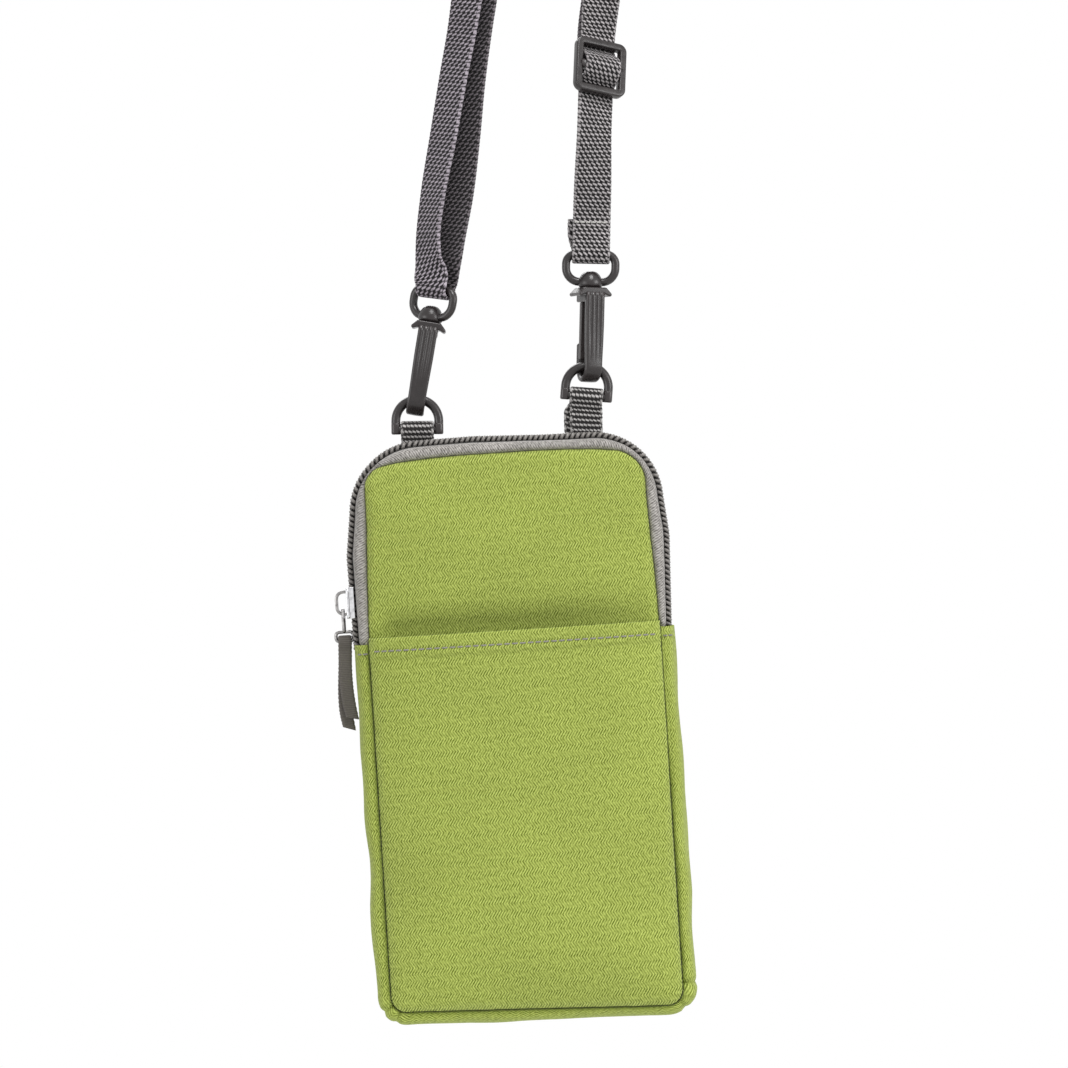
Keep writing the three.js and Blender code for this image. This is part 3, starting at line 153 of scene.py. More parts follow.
# Strap routes: across, above the top seam, and turn of the face in degrees from straight ahead
LEFT_ROUTE = [
    (-16.2, 82.7, 50), (-12, 100.2, 45), (-7.9, 117.9, 43), (-3.5, 135.8, 39), (-1.4, 146, 35),
    (4.7, 174.8, 42), (11.8, 207.8, 60), (18.7, 239.8, 80), (24.3, 265.8, 90),
]
LEFT_BACK_ROUTE = [
    (-10, 82.7, 32), (-6.9, 100.2, 30), (-4, 117.9, 34), (-0.3, 135.8, 38), (1.9, 146, 36),
    (6.9, 174.8, 42), (12.9, 207.8, 60), (18.9, 239.8, 80), (24.3, 265.8, 90),
]
LEFT_LEG = {"shift": -3.8, "turn": 50, "back_slip": 1.6}
RIGHT_ROUTE = [(52.2, 265.8, 90), (49.8, 239.8, 84), (47, 209.8, 60), (44.1, 179.8, 28), (41.3, 147.8, 0)]
CROWN = {"x": 40.5, "z": SEAM_TOP + 279.8, "radius": 11, "left_lean": 12, "right_lean": 5, "steps": 10}


def to_row(points):
    """Points of the bag's frame in millimetres, as places in the row frame in metres."""
    return np.asarray(points, float) * MM + np.array(ORIGIN)


def row_spot(x, y, z):
    return tuple(to_row((x, y, z)))


def turn_by(degrees, axis):
    return Matrix.Rotation(radians(degrees), 4, axis)


def added(name, data):
    """An object of the scene, with its mesh, lamp or camera."""
    obj = bpy.data.objects.new(name, data)
    bpy.context.scene.collection.objects.link(obj)
    return obj


# Mesh building: a patch is (points, faces, texture places), all in millimetres

def lattice(points, u, v, wrap=False):
    """Quads over rows of points. u runs along a row and v along the columns."""
    points = np.asarray(points, float)
    rows, columns = points.shape[:2]
    steps = columns if wrap else columns - 1
    u = np.broadcast_to(np.asarray(u, float), (rows, steps + 1))
    v = np.asarray(v, float)
    v = np.broadcast_to(v.reshape(rows, 1) if v.ndim == 1 else v, (rows, steps + 1))
    faces, places = [], []
    for i in range(rows - 1):
        for j in range(steps):
            here, across = i * columns + j, i * columns + (j + 1) % columns
            faces.append((here, across, across + columns, here + columns))
            places += [(u[i, j], v[i, j]), (u[i, j + 1], v[i, j + 1])]
            places += [(u[i + 1, j + 1], v[i + 1, j + 1]), (u[i + 1, j], v[i + 1, j])]
    return points.reshape(-1, 3), faces, places


def capped(patch, columns):
    """The patch of an open tube with a face over each end."""
    points, faces, places = patch
    first = tuple(range(columns))
    last = tuple(len(points) - columns + j for j in reversed(range(columns)))
    return points, faces + [first, last], places + [(0, 0)] * (2 * columns)


def merged(patches):
    points, faces, places = [], [], []
    count = 0
    for patch_points, patch_faces, patch_places in patches:
        points.append(patch_points)
        faces += [tuple(i + count for i in face) for face in patch_faces]
        places += patch_places
        count += len(patch_points)
    return np.concatenate(points), faces, places


def turned(patch, matrix):
    points, faces, places = patch
    spots = np.c_[points, np.ones(len(points))] @ np.array(matrix).T
    return spots[:, :3], faces, places


def piece(name, patch, material, closed=True):
    """A smooth mesh object made from a patch, in the row frame."""
    points, faces, places = patch
    mesh = bpy.data.meshes.new(name)
    mesh.from_pydata(to_row(points).tolist(), [], faces)
    layer = mesh.uv_layers.new(name="weave")
    layer.data.foreach_set("uv", np.asarray(places, np.float32).ravel())
    if closed:
        work = bmesh.new()
        work.from_mesh(mesh)
        bmesh.ops.recalc_face_normals(work, faces=work.faces)
        work.to_mesh(mesh)
        work.free()
    mesh.polygons.foreach_set("use_smooth", [len(face.vertices) < 5 for face in mesh.polygons])
    mesh.materials.append(material)
    obj = added(name, mesh)
    return obj


def show(obj, nodes, body=None):
    """Shows an object in place of CAD nodes, on a body if one is given."""
    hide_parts(*nodes)
    if body:
        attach(obj, body)
    return obj


def settle(obj):
    """Makes an object's modifiers part of its mesh."""
    graph = bpy.context.evaluated_depsgraph_get()
    mesh = bpy.data.meshes.new_from_object(obj.evaluated_get(graph))
    old = obj.data
    obj.modifiers.clear()
    obj.data = mesh
    bpy.data.meshes.remove(old)
    return obj


def thicken(obj, thickness, inside=None, side=-1):
    """Gives a sheet its thickness, behind its outer face or before it, with any other cloth inside."""
    modifier = obj.modifiers.new("thickness", "SOLIDIFY")
    modifier.thickness = thickness * MM
    modifier.offset = side
    if inside is not None:
        obj.data.materials.append(inside)
        modifier.material_offset = 1
    return settle(obj)


SHARP_ANGLE = 35


def rounded_edges(obj, width, segments=2):
    """Rounds the sharp edges of a moulded or cast piece."""
    modifier = obj.modifiers.new("rounding", "BEVEL")
    modifier.width = width * MM
    modifier.segments = segments
    modifier.limit_method = "ANGLE"
    modifier.angle_limit = radians(SHARP_ANGLE)
    settle(obj)
    obj.data.polygons.foreach_set("use_smooth", [True] * len(obj.data.polygons))
    weights = obj.modifiers.new("normals", "WEIGHTED_NORMAL")
    weights.keep_sharp = True
    return settle(obj)


def distances(points):
    """Distance along a line of points at each of them."""
    steps = np.linalg.norm(np.diff(points, axis=0), axis=1)
    return np.concatenate([[0], np.cumsum(steps)])


def smooth_line(values, step):
    """A curve through rows of values, whose first three are a place, at nearly even steps along it."""
    values = np.asarray(values, float)
    at = distances(values[:, :3])
    gaps = np.diff(at)[:, None]
    slope = np.diff(values, axis=0) / gaps
    between = (slope[:-1] * gaps[1:] + slope[1:] * gaps[:-1]) / (gaps[:-1] + gaps[1:])
    bend = np.vstack([slope[:1], between, slope[-1:]])
    places = np.linspace(0, at[-1], max(2, round(at[-1] / step) + 1))
    cell = np.clip(np.searchsorted(at, places, side="right") - 1, 0, len(gaps) - 1)
    gap = gaps[cell]
    t = (places - at[cell])[:, None] / gap
    return (values[cell] * (1 + 2 * t) * (1 - t) ** 2 + bend[cell] * gap * t * (1 - t) ** 2
            + values[cell + 1] * t ** 2 * (3 - 2 * t) + bend[cell + 1] * gap * t ** 2 * (t - 1))


def unit(vectors):
    return vectors / np.linalg.norm(vectors, axis=-1, keepdims=True)


def tangents(points, closed=False):
    if closed:
        return unit(np.roll(points, -1, axis=0) - np.roll(points, 1, axis=0))
    return unit(np.gradient(points, axis=0))


def circle(radius, sides=12):
    angles = 2 * np.pi * np.arange(sides) / sides
    return np.column_stack([radius * np.cos(angles), radius * np.sin(angles)])


def arc(x, z, radius, start, stop, steps=10):
    """Points [x, z] along an arc, with angles in degrees from the x axis."""
    angles = np.radians(np.linspace(start, stop, steps + 1))
    return [(x + radius * cos(a), z + radius * sin(a)) for a in angles]


def rounded(half, low, high, radius, steps):
    """A rectangle [x, z] with rounded corners, from its top right one."""
    top, bottom = high - radius, low + radius
    points = []
    for way, z, start in ((1, top, 0), (-1, top, 90), (-1, bottom, 180), (1, bottom, 270)):
        points += arc(way * (half - radius), z, radius, start, start + 90, steps)
    return points


def oblong(width, depth, radius, steps=4):
    """A rectangle with rounded corners, as points round its middle."""
    return np.array(rounded(width / 2, -depth / 2, depth / 2, radius, steps))


def mirrored(half):
    """An outline's right half and its mirror image."""
    return half + [(-a, b) for a, b in reversed(half)]


def there_and_back(line):
    """A line [a, b] that ends at b = 0, and its mirror image beyond."""
    return line + [(a, -b) for a, b in reversed(line[:-1])]


def sweep(path, across, section, closed=False, start=0):
    """A section, as [sideways, across] or one for each point, carried along a path, its second way
    as near across as the path lets it. The texture starts from a distance along the path."""
    path = np.asarray(path, float)
    ahead = tangents(path, closed)
    across = np.broadcast_to(np.asarray(across, float), path.shape)
    across = unit(across - ahead * np.sum(across * ahead, axis=1, keepdims=True))
    section = np.broadcast_to(section, (len(path),) + np.shape(section)[-2:])
    sideways = np.cross(ahead, across)
    rings = path[:, None] + section[:, :, :1] * sideways[:, None] + section[:, :, 1:] * across[:, None]
    around = distances(np.vstack([section[0], section[0][:1]]))
    if closed:
        path, rings = np.vstack([path, path[:1]]), np.concatenate([rings, rings[:1]])
    patch = lattice(rings, around, start + distances(path), wrap=True)
    return patch if closed else capped(patch, section.shape[1])


def in_plane(outline):
    """Points [x, z] as places in the plane y = 0."""
    return np.array([(x, 0, z) for x, z in outline])


def along_x(y, z, x):
    """Place of a point for a prism that is thick along x."""
    return x, y, z


def along_y(x, z, y):
    """Place of a point for a prism that is thick along y."""
    return x, y, z


def prism(outline, low, high, place):
    """A flat outline [a, b] made thick between two heights; place(a, b, height) gives each point."""
    count = len(outline)
    points = np.array([place(a, b, h) for h in (low, high) for a, b in outline], float)
    around = distances(np.vstack([outline, outline[:1]]))
    rings = points.reshape(2, count, 3)
    return capped(lattice(rings, around, np.array([0, high - low]), wrap=True), count)


# Materials

def srgb(red, green, blue, gain=1.0):
    """A colour as it is seen, 0 to 255, as the shader's linear colour."""
    linear = [((c / 255 + 0.055) / 1.055) ** 2.4 if c > 10 else c / 3294.6 for c in (red, green, blue)]
    return tuple(min(1.0, gain * c) for c in linear) + (1.0,)


def arithmetic(operation):
    return lambda field, *others: field.shader.math(operation, field, *others)


class Field:
    """A number that varies over a surface, with arithmetic that adds nodes to its material."""

    def __init__(self, shader, socket):
        self.shader = shader
        self.socket = socket

    __add__ = arithmetic("ADD")
    __sub__ = arithmetic("SUBTRACT")
    __mul__ = arithmetic("MULTIPLY")
    __truediv__ = arithmetic("DIVIDE")
    __abs__ = arithmetic("ABSOLUTE")


class Shader:
    """A procedural material: a Principled shader and the nodes that feed it."""

    def __init__(self, name, constants):
        self.material = bpy.data.materials.new(name)
        self.material.use_nodes = True
        self.tree = self.material.node_tree
        self.surface = self.tree.nodes["Principled BSDF"]
        self.feed(self.surface, constants)
        self.spot = self.node("ShaderNodeUVMap", uv_map="weave").outputs[0]
        split = self.node("ShaderNodeSeparateXYZ", {0: self.spot})
        self.u, self.v = (Field(self, split.outputs[i]) for i in (0, 1))

    def feed(self, node, inputs):
        """Sets a node's inputs, or joins them to fields and sockets."""
        for name, value in dict(inputs).items():
            if isinstance(value, Field):
                value = value.socket
            if isinstance(value, bpy.types.NodeSocket):
                self.tree.links.new(value, node.inputs[name])
            else:
                node.inputs[name].default_value = value

    def node(self, kind, inputs=(), **settings):
        made = self.tree.nodes.new(kind)
        for key, value in settings.items():
            setattr(made, key, value)
        self.feed(made, inputs)
        return made

    def keep_height(self):
        """The weave stays at its height where the web runs through the adjuster."""
        spot = self.node("ShaderNodeTexCoord").outputs["Object"]
        height = Field(self, self.node("ShaderNodeSeparateXYZ", {0: spot}).outputs[2])
        self.v = self.v + height / MM
        self.spot = self.node("ShaderNodeCombineXYZ", {0: self.u, 1: self.v}).outputs[0]

    def math(self, operation, *values):
        made = self.node("ShaderNodeMath", enumerate(values), operation=operation)
        return Field(self, made.outputs[0])

    def ramp(self, value, low, high, start=0.0, stop=1.0):
        made = self.node("ShaderNodeMapRange", {0: value, 1: low, 2: high, 3: start, 4: stop},
                         interpolation_type="SMOOTHSTEP")
        return Field(self, made.outputs[0])

    def wave(self, phase, start=0.0, stop=1.0):
        return self.ramp(self.math("SINE", phase), -1, 1, start, stop)

    def grain(self, scale, detail=2.0):
        made = self.node("ShaderNodeTexNoise", {"Vector": self.spot, "Scale": scale, "Detail": detail})
        return Field(self, made.outputs[0])

    def blend(self, factor, first, second):
        made = self.node("ShaderNodeMix", {0: factor, 6: first, 7: second}, data_type="RGBA")
        return made.outputs[2]

    def cloudy(self, colour, scale, low, high, detail=2.0):
        """The colour made darker and lighter, by numbers round 1, in slow patches."""
        amount = self.ramp(self.grain(scale, detail), 0.3, 0.7, low, high)
        made = self.node("ShaderNodeVectorMath", {0: colour, "Scale": amount}, operation="SCALE")
        return made.outputs[0]

    def finish(self, colour, height, depth, roughness=None):
        """Joins colour, bump in millimetres and any roughness to the surface."""
        bump = self.node("ShaderNodeBump", {"Height": height, "Distance": depth * MM, "Strength": 1.0})
        self.feed(self.surface, {"Base Color": colour, "Normal": bump.outputs[0]})
        if roughness is not None:
            self.feed(self.surface, {"Roughness": roughness})
        return self.material


CLOTH = {"Roughness": 0.86, "Specular IOR Level": 0.25, "Sheen Weight": 0.12, "Sheen Roughness": 0.5}
WEB_BUMP = 0.25
THREAD_TWIST = 0.45


def herringbone(name, dark, light, band=2.1, pitch=0.88, lean=0.65):
    """Level bands of slanted threads that lean right and left by turns, plainest in every second band."""
    s = Shader(name, CLOTH)
    line = s.v / band
    index = s.math("FLOOR", line)
    turn = s.math("FLOORED_MODULO", index, 2.0)
    slant = (line - index - 0.5) * (turn * 2.0 - 1.0) * (lean * band / pitch)
    wave = s.math("SINE", (s.u / pitch + slant) * (2 * pi))
    strength = s.ramp(s.grain(0.45), 0.3, 0.7, 0.45, 1.1) * s.ramp(turn, 0, 1, 1.0, 0.65)
    ridge = wave * strength * 0.5 + 0.5
    mixed = ridge + s.ramp(s.grain(1.1), 0.25, 0.75, -0.2, 0.2)
    return s.finish(s.cloudy(s.blend(mixed, dark, light), 0.03, 0.96, 1.04), ridge, 0.14)


def twill(name, dark, light, pitch, depth=0.1):
    """Fine slanted threads, for zip tape."""
    s = Shader(name, CLOTH)
    wave = s.wave((s.v + s.u) / pitch * (2 * pi))
    mixed = wave * 0.5 + s.ramp(s.grain(1.4, 3.0), 0.3, 0.7) * 0.5
    return s.finish(s.cloudy(s.blend(mixed, dark, light), 0.08, 0.9, 1.08), mixed, depth)


def webbing(name, dark, light, width, thickness, lean, across, along=1.32, joined=0, keeps_height=False):
    """Rows of slanted yarns, shifted by half in every second row, and paler loops at the edges."""
    s = Shader(name, CLOTH)
    if keeps_height:
        s.keep_height()
    line = s.v / along
    row = s.math("FLOOR", line)
    up = (line - row - 0.5) * along
    odd = s.math("FLOORED_MODULO", row, 2.0)
    side = s.math("FRACT", s.u / across + odd * 0.5) - 0.5
    slope = side * across * (s.ramp(odd, 0, 1, 1, 0.8) * lean)
    off = abs(up + slope) * s.ramp(odd, 0, 1, 1, 0.85)
    gap = s.math("MAXIMUM", s.ramp(abs(side), 0.5, 0.34), odd * joined)
    flat, rim = width - thickness, pi * thickness / 2
    ring = s.u - (flat + rim / 2 - (flat + rim) / 2)
    inner = abs(s.math("FLOORED_MODULO", ring, flat + rim) - (flat + rim) / 2)
    edge = s.ramp(inner, 1.2, 0.7) * s.wave(line * pi, -0.2, 0.95)
    yarn = s.math("MAXIMUM", s.ramp(off, 0.44, 0.12) * gap, edge)
    fleck = s.grain(1.1, 3.0)
    mixed = yarn * s.ramp(fleck, 0.25, 0.75, 0.6, 1.1)
    colour = s.cloudy(s.blend(mixed, dark, light), 0.06, 0.9, 1.1)
    return s.finish(colour, yarn + fleck * 0.3, WEB_BUMP)


def strap_weave(name, dark, light, lean, across, keeps_height=False):
    return webbing(name, dark, light, STRAP_WIDTH, STRAP, lean, across, joined=0.35,
                   keeps_height=keeps_height)


def ribbed(name, dark, light, pitch=0.55, depth=0.08):
    """Ribs across a ribbon."""
    s = Shader(name, CLOTH)
    mixed = s.wave(s.v * (2 * pi / pitch)) * 0.45 + s.grain(1.6, 3.0) * 0.5
    return s.finish(s.blend(mixed, dark, light), mixed, depth)


def plain_weave(name, dark, light, pitch=0.7, depth=0.1):
    """Threads over and under one another, for lining."""
    s = Shader(name, CLOTH)
    over, under = (s.math("SINE", place * (pi / pitch)) for place in (s.u, s.v))
    mixed = s.ramp(over * under, -1, 1)
    return s.finish(s.cloudy(s.blend(mixed, dark, light), 0.05, 0.85, 1.15, 3.0), mixed, depth)


def moulded(name, dark, light, roughness):
    """Satin plastic: faint flow marks, fine pits and sharp edges made paler as a painted highlight."""
    s = Shader(name, {"Specular IOR Level": 0.5})
    # Pointiness makes the sharp convex edges paler: a painted highlight.
    edge = s.ramp(s.node("ShaderNodeNewGeometry").outputs["Pointiness"], 0.51, 0.58)
    flow = s.grain(0.35, 4.0)
    mixed = s.math("MAXIMUM", flow * 0.55, edge)
    rough = s.ramp(flow, 0.3, 0.7, roughness - 0.06, roughness + 0.08)
    return s.finish(s.blend(mixed, dark, light), s.grain(3.0) + flow * 2.0, 0.02, rough)


def plated(name, dark, light):
    """Bright plated metal with rubbed patches and hair scratches."""
    s = Shader(name, {"Metallic": 1.0})
    rub = s.grain(0.5, 4.0)
    drawn = s.node("ShaderNodeMapping", {"Vector": s.spot, "Scale": (6.0, 0.3, 1.0)}).outputs[0]
    hair = s.node("ShaderNodeTexNoise", {"Vector": drawn, "Scale": 1.5, "Detail": 3.0}).outputs[0]
    rough = s.ramp(rub, 0.35, 0.75, 0.1, 0.26)
    return s.finish(s.blend(s.ramp(rub, 0.4, 0.8), light, dark), hair, 0.008, rough)


def thread(name, dark, light):
    """Twisted sewing thread."""
    s = Shader(name, CLOTH)
    twist = s.wave((s.v + s.u) * (2 * pi / THREAD_TWIST))
    return s.finish(s.blend(twist, dark, light), twist, 0.05)


GREEN = herringbone("green_herringbone", srgb(92, 106, 14), srgb(194, 208, 108))
LINING = plain_weave("lining_weave", srgb(52, 53, 56), srgb(86, 87, 90))
TAPE_CLOTH = twill("zip_tape_twill", srgb(84, 80, 77), srgb(196, 192, 187), 0.8)
# Near-black cord cloth: the cords are real, and their darkness is partly painted shade under the tape's lip.
SHADED_CORD_CLOTH = twill("chain_cord_painted_shade", srgb(16, 15, 15), srgb(40, 38, 37), 0.9)
TEETH = moulded("zip_nylon", srgb(84, 80, 78), srgb(134, 130, 126), 0.4)
STEEL = plated("bright_plate", srgb(150, 150, 152), srgb(226, 226, 228))
DARK_STEEL = plated("dark_plate", srgb(74, 72, 72), srgb(158, 156, 155))
RIBBON = ribbed("pull_ribbon", srgb(78, 74, 70), srgb(118, 113, 107))
TAB_WEB = webbing("tab_webbing", srgb(30, 28, 28), srgb(198, 195, 193), TAB_WIDTH, TAB_WEBBING,
                  -0.35, 1.25, 1.6)
STRAP_WEB = strap_weave("strap_webbing", srgb(12, 9, 12), srgb(182, 173, 182), 0.55, 1.9)
# A darker copy of the strap webbing for the back layers: painted shade, for the shade they lie in behind the
# front layer.
SHADED_BACK_WEB = strap_weave("strap_webbing_painted_shade", srgb(12, 10, 11), srgb(126, 119, 124), 0.55, 1.9)
TURNED_LOOK = (srgb(10, 8, 9), srgb(190, 185, 186), -0.55, 1.6)
TURNED_WEB = strap_weave("strap_webbing_turned", *TURNED_LOOK)
LOWER_WEB = strap_weave("strap_webbing_lower", *TURNED_LOOK, keeps_height=True)
PLASTIC = moulded("dark_plastic", srgb(26, 22, 22), srgb(56, 50, 50), 0.3)
THREAD = thread("grey_thread", srgb(110, 108, 100), srgb(172, 169, 162))
PALE_THREAD = thread("pale_thread", srgb(160, 158, 155), srgb(222, 220, 216))


# Camera and light

PHOTO_PIXELS = 1068
PIXEL = 0.315
VIEW_MIDDLE = (8.15, 152.6)
VIEW_WIDTH = PHOTO_PIXELS * PIXEL
VIEW_ROLL = 3.6
VIEW_DISTANCE = 1400
SENSOR = 36
CLIP_START = 0.05
AMBIENT = 0.4
LAMP_TARGET = (0, 0, 130)
# Lamps: name, place from the target in metres, size and power
LAMPS = [
    ("key_lamp", (0.3, -0.75, 1.3), 0.6, 12.6),
    ("left_lamp", (-1.2, -0.75, 0.2), 0.8, 6),
    ("right_lamp", (1.2, -0.75, 0.3), 0.8, 9.5),
    ("back_lamp", (-0.2, 1.0, 1.0), 0.8, 9),
]
FLOOR_RADIUS = 0.4
FLOOR_DROP = 0.09
FLOOR_PAINT = {"Base Color": (0.86, 0.86, 0.85, 1), "Roughness": 0.9}


def add_camera():
    """Straight at the front, rolled as the bag hangs in the photo."""
    data = bpy.data.cameras.new("camera")
    data.sensor_width = SENSOR
    data.lens = SENSOR * VIEW_DISTANCE / VIEW_WIDTH
    data.clip_start = CLIP_START
    camera = added("camera", data)
    eye = row_spot(VIEW_MIDDLE[0], -FRONT_OUT - VIEW_DISTANCE, VIEW_MIDDLE[1])
    camera.matrix_world = Matrix.Translation(eye) @ turn_by(VIEW_ROLL, "Y") @ turn_by(90, "X")
    bpy.context.scene.camera = camera


def add_lamp(name, place, size, power):
    """A soft square lamp aimed at the middle of the bag."""
    data = bpy.data.lights.new(name, "AREA")
    data.size = size
    data.energy = power
    lamp = added(name, data)
    lamp.location = Vector(row_spot(*LAMP_TARGET)) + Vector(place)
    lamp.rotation_euler = (-Vector(place)).to_track_quat("-Z", "Y").to_euler()


def add_world():
    """White to the camera and in reflections, and a plain soft light on the object."""
    world = bpy.data.worlds.new("studio")
    bpy.context.scene.world = world
    world.use_nodes = True
    nodes, links = world.node_tree.nodes, world.node_tree.links
    back = nodes["Background"]
    back.inputs["Color"].default_value = (1, 1, 1, 1)
    path = nodes.new("ShaderNodeLightPath")
    seen = path.outputs["Is Camera Ray"]
    for ray in ("Is Glossy Ray", "Is Transmission Ray"):
        either = nodes.new("ShaderNodeMath")
        either.operation = "MAXIMUM"
        links.new(seen, either.inputs[0])
        links.new(path.outputs[ray], either.inputs[1])
        seen = either.outputs[0]
    level = nodes.new("ShaderNodeMapRange")
    level.inputs["To Min"].default_value = AMBIENT
    level.inputs["To Max"].default_value = 1.0
    links.new(seen, level.inputs["Value"])
    links.new(level.outputs[0], back.inputs["Strength"])


def add_floor():
    """A small pale floor under the hanging bag."""
    mesh = bpy.data.meshes.new("floor")
    work = bmesh.new()
    bmesh.ops.create_circle(work, cap_ends=True, radius=FLOOR_RADIUS, segments=96)
    work.to_mesh(mesh)
    work.free()
    floor = added("floor", mesh)
    floor.location = (ORIGIN.x, ORIGIN.y, ORIGIN.z - FLOOR_DROP)
    paint = bpy.data.materials.new("floor_paint")
    paint.use_nodes = True
    for name, value in FLOOR_PAINT.items():
        paint.node_tree.nodes["Principled BSDF"].inputs[name].default_value = value
    mesh.materials.append(paint)


bpy.context.scene.view_settings.view_transform = "Standard"
add_camera()
add_world()
add_floor()
for lamp_row in LAMPS:
    add_lamp(*lamp_row)


# Strap

STRAP_STEP = 0.5
LAP = 3
RIGHT_SPLIT_Z = SEAM_TOP + 219.8
LOWER_SPLIT_Z = SEAM_TOP + 89.8
EDGE_PITCH = 1.32
EDGE_WAVE = 0.15
LEG_HOLD = 4
LOOP_ARC = (170, 370, 21)
# Heights, from its loop or split, given with the strap pieces that are shown on no body
LEFT_BEND = (60, 1)
GLIDE_BEND = (-2, 15)
LOWER_BEND = 0.5
BACK_WEAVE_SLIP = 0.4
GLIDE_PATH = there_and_back([(2.45, 10.5), (2.45, 7.4), (1.6, 5.6), (-1.4, 3.2), (-2.75, 1.4), (-3.0, 0)])
SEWN_PATH = [(4.95, 12.4), (4.95, 8.4), (4.6, 6.2), (3.2, 3.6), (2.5, 1.8), (2.45, 0.2), (2.45, -1.8)]


def stand(side, turn):
    """Frame of a hook or eye: its origin on the ring's wire and z along the hook."""
    place = Matrix.Translation((side["x"], HANG_Y, side["z"]))
    return place @ turn_by(side["hook_lean"], "Y") @ turn_by(turn, "Z")


BEHIND_BARS = GLIDE_PATH[0][0]
GLIDE_FRAME = (Matrix.Translation((GLIDE["x"], HANG_Y - LAYER_PITCH / 2 - BEHIND_BARS, GLIDE["z"]))
               @ turn_by(GLIDE["lean"], "Y") @ turn_by(GLIDE["pitch"], "X") @ turn_by(GLIDE["turn"], "Z"))
LEFT_EYE = stand(LEFT, LEFT["eye_turn"])
RIGHT_EYE = stand(RIGHT, RIGHT["eye_turn"])


def stations(matrix, points, faces):
    """Rows of place and face direction, from a piece's frame to the bag's."""
    turn = np.array(matrix.to_3x3())
    places = np.asarray(points, float) @ turn.T + np.array(matrix.translation)
    return np.hstack([places, np.asarray(faces, float) @ turn.T])


def strip_faces(points):
    """Which way a strip along points in a plane of y and z faces."""
    ahead = tangents(points)
    return np.column_stack([0 * ahead[:, 0], ahead[:, 2], -ahead[:, 1]])


def loop_line(matrix, front_leg, back_slip, back_leg):
    """Webbing down in front of an eye, under its top wire and up behind."""
    half = LAYER_PITCH / 2
    points = [(0, -half, EYE_TOP + front_leg), (0, -half, EYE_TOP + front_leg - LEG_HOLD)]
    faces = [(0, -1, 0), (0, -1, 0)]
    for turn in np.radians(np.linspace(*LOOP_ARC)):
        points.append((0, LOOP_RADIUS * cos(turn), EYE_TOP + LOOP_RADIUS * sin(turn)))
        faces.append((0, cos(turn), sin(turn)))
    points += [(back_slip, half, EYE_TOP + back_leg - LEG_HOLD), (back_slip, half, EYE_TOP + back_leg)]
    faces += [(0, 1, 0), (0, 1, 0)]
    return stations(matrix, points, faces)


def glide_line(line):
    """A line [y, z] through the adjuster, from the top down."""
    points = np.array([(0, y, z) for y, z in line])
    return stations(GLIDE_FRAME, points, strip_faces(points))


def facing(sign, turn):
    """Direction of the strap's face, turned left or right from straight ahead."""
    return np.array([sign * sin(radians(turn)), -cos(radians(turn)), 0])


def strand_line(route, sign, layer):
    rows = []
    for x, rise, turn in route:
        face = facing(sign, turn)
        place = np.array([x, HANG_Y, SEAM_TOP + rise])
        rows.append(np.concatenate([place - face * LAYER_PITCH * (layer - 0.5), face]))
    return np.array(rows)


def left_loop_line():
    """The loop in the left eye, whose front leg stands upright and turned."""
    line = loop_line(LEFT_EYE, LOOP_LEG, LEFT_LEG["back_slip"], LOOP_LEG)
    for row, part in ((0, 1), (1, 0.8)):
        line[row, 0] += part * LEFT_LEG["shift"]
        line[row, 3:] = facing(-1, LEFT_LEG["turn"] * part - LEFT["eye_turn"] * (1 - part))
    return line


def crown_line(layer):
    rows = []
    radius = CROWN["radius"] + STRAP / 2 + (1 - layer) * LAYER_PITCH
    for angle in np.radians(np.linspace(180 - CROWN["left_lean"], -CROWN["right_lean"], CROWN["steps"] + 1)):
        face = np.array([cos(angle), 0, sin(angle)])
        rows.append(np.concatenate([np.array([CROWN["x"], HANG_Y, CROWN["z"]]) + radius * face, face]))
    return np.array(rows)


def flat_section(width, thickness, columns=8):
    """Round-edged webbing, as points [sideways, across]."""
    edge = thickness / 2
    flat = np.linspace(width / 2 - edge, edge - width / 2, columns + 1)
    turn = np.radians([120, 150, 180, 210, 240])
    left = np.column_stack([edge - width / 2 + edge * np.cos(turn), edge * np.sin(turn)])
    upper = np.column_stack([flat, np.full(columns + 1, edge)])
    return np.vstack([upper, left, -upper, -left])


def web_patch(line, width, thickness, start=0):
    """Webbing along rows of place and face, its edges a little scalloped by the weave."""
    along = start + distances(line[:, :3])
    section = flat_section(width, thickness)
    wave = 1 + EDGE_WAVE / width * np.sin(2 * np.pi * along / EDGE_PITCH)
    sections = np.stack([section * (w, 1) for w in wave])
    return sweep(line[:, :3], line[:, 3:], sections, start=start)


def strap_piece(name, line, start, nodes, body, blend=None, web=STRAP_WEB):
    obj = piece(name, web_patch(line, STRAP_WIDTH, STRAP, start), web)
    if blend is None:
        return show(obj, nodes, body)
    show(obj, nodes)
    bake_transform(obj)
    return obj


def less_height(obj):
    """Takes the height off the weave's places, since LOWER_WEB adds it back at every pose."""
    mesh = obj.data
    for loop, spot in zip(mesh.loops, mesh.uv_layers["weave"].data):
        spot.uv[1] -= mesh.vertices[loop.vertex_index].co[2] / MM


def run_of(line):
    """Length of a line whose rows start with a place."""
    return distances(line[:, :3])[-1]


def split(line, at):
    """A line cut in two at a row, which both keep."""
    return line[:at + 1], line[at:]


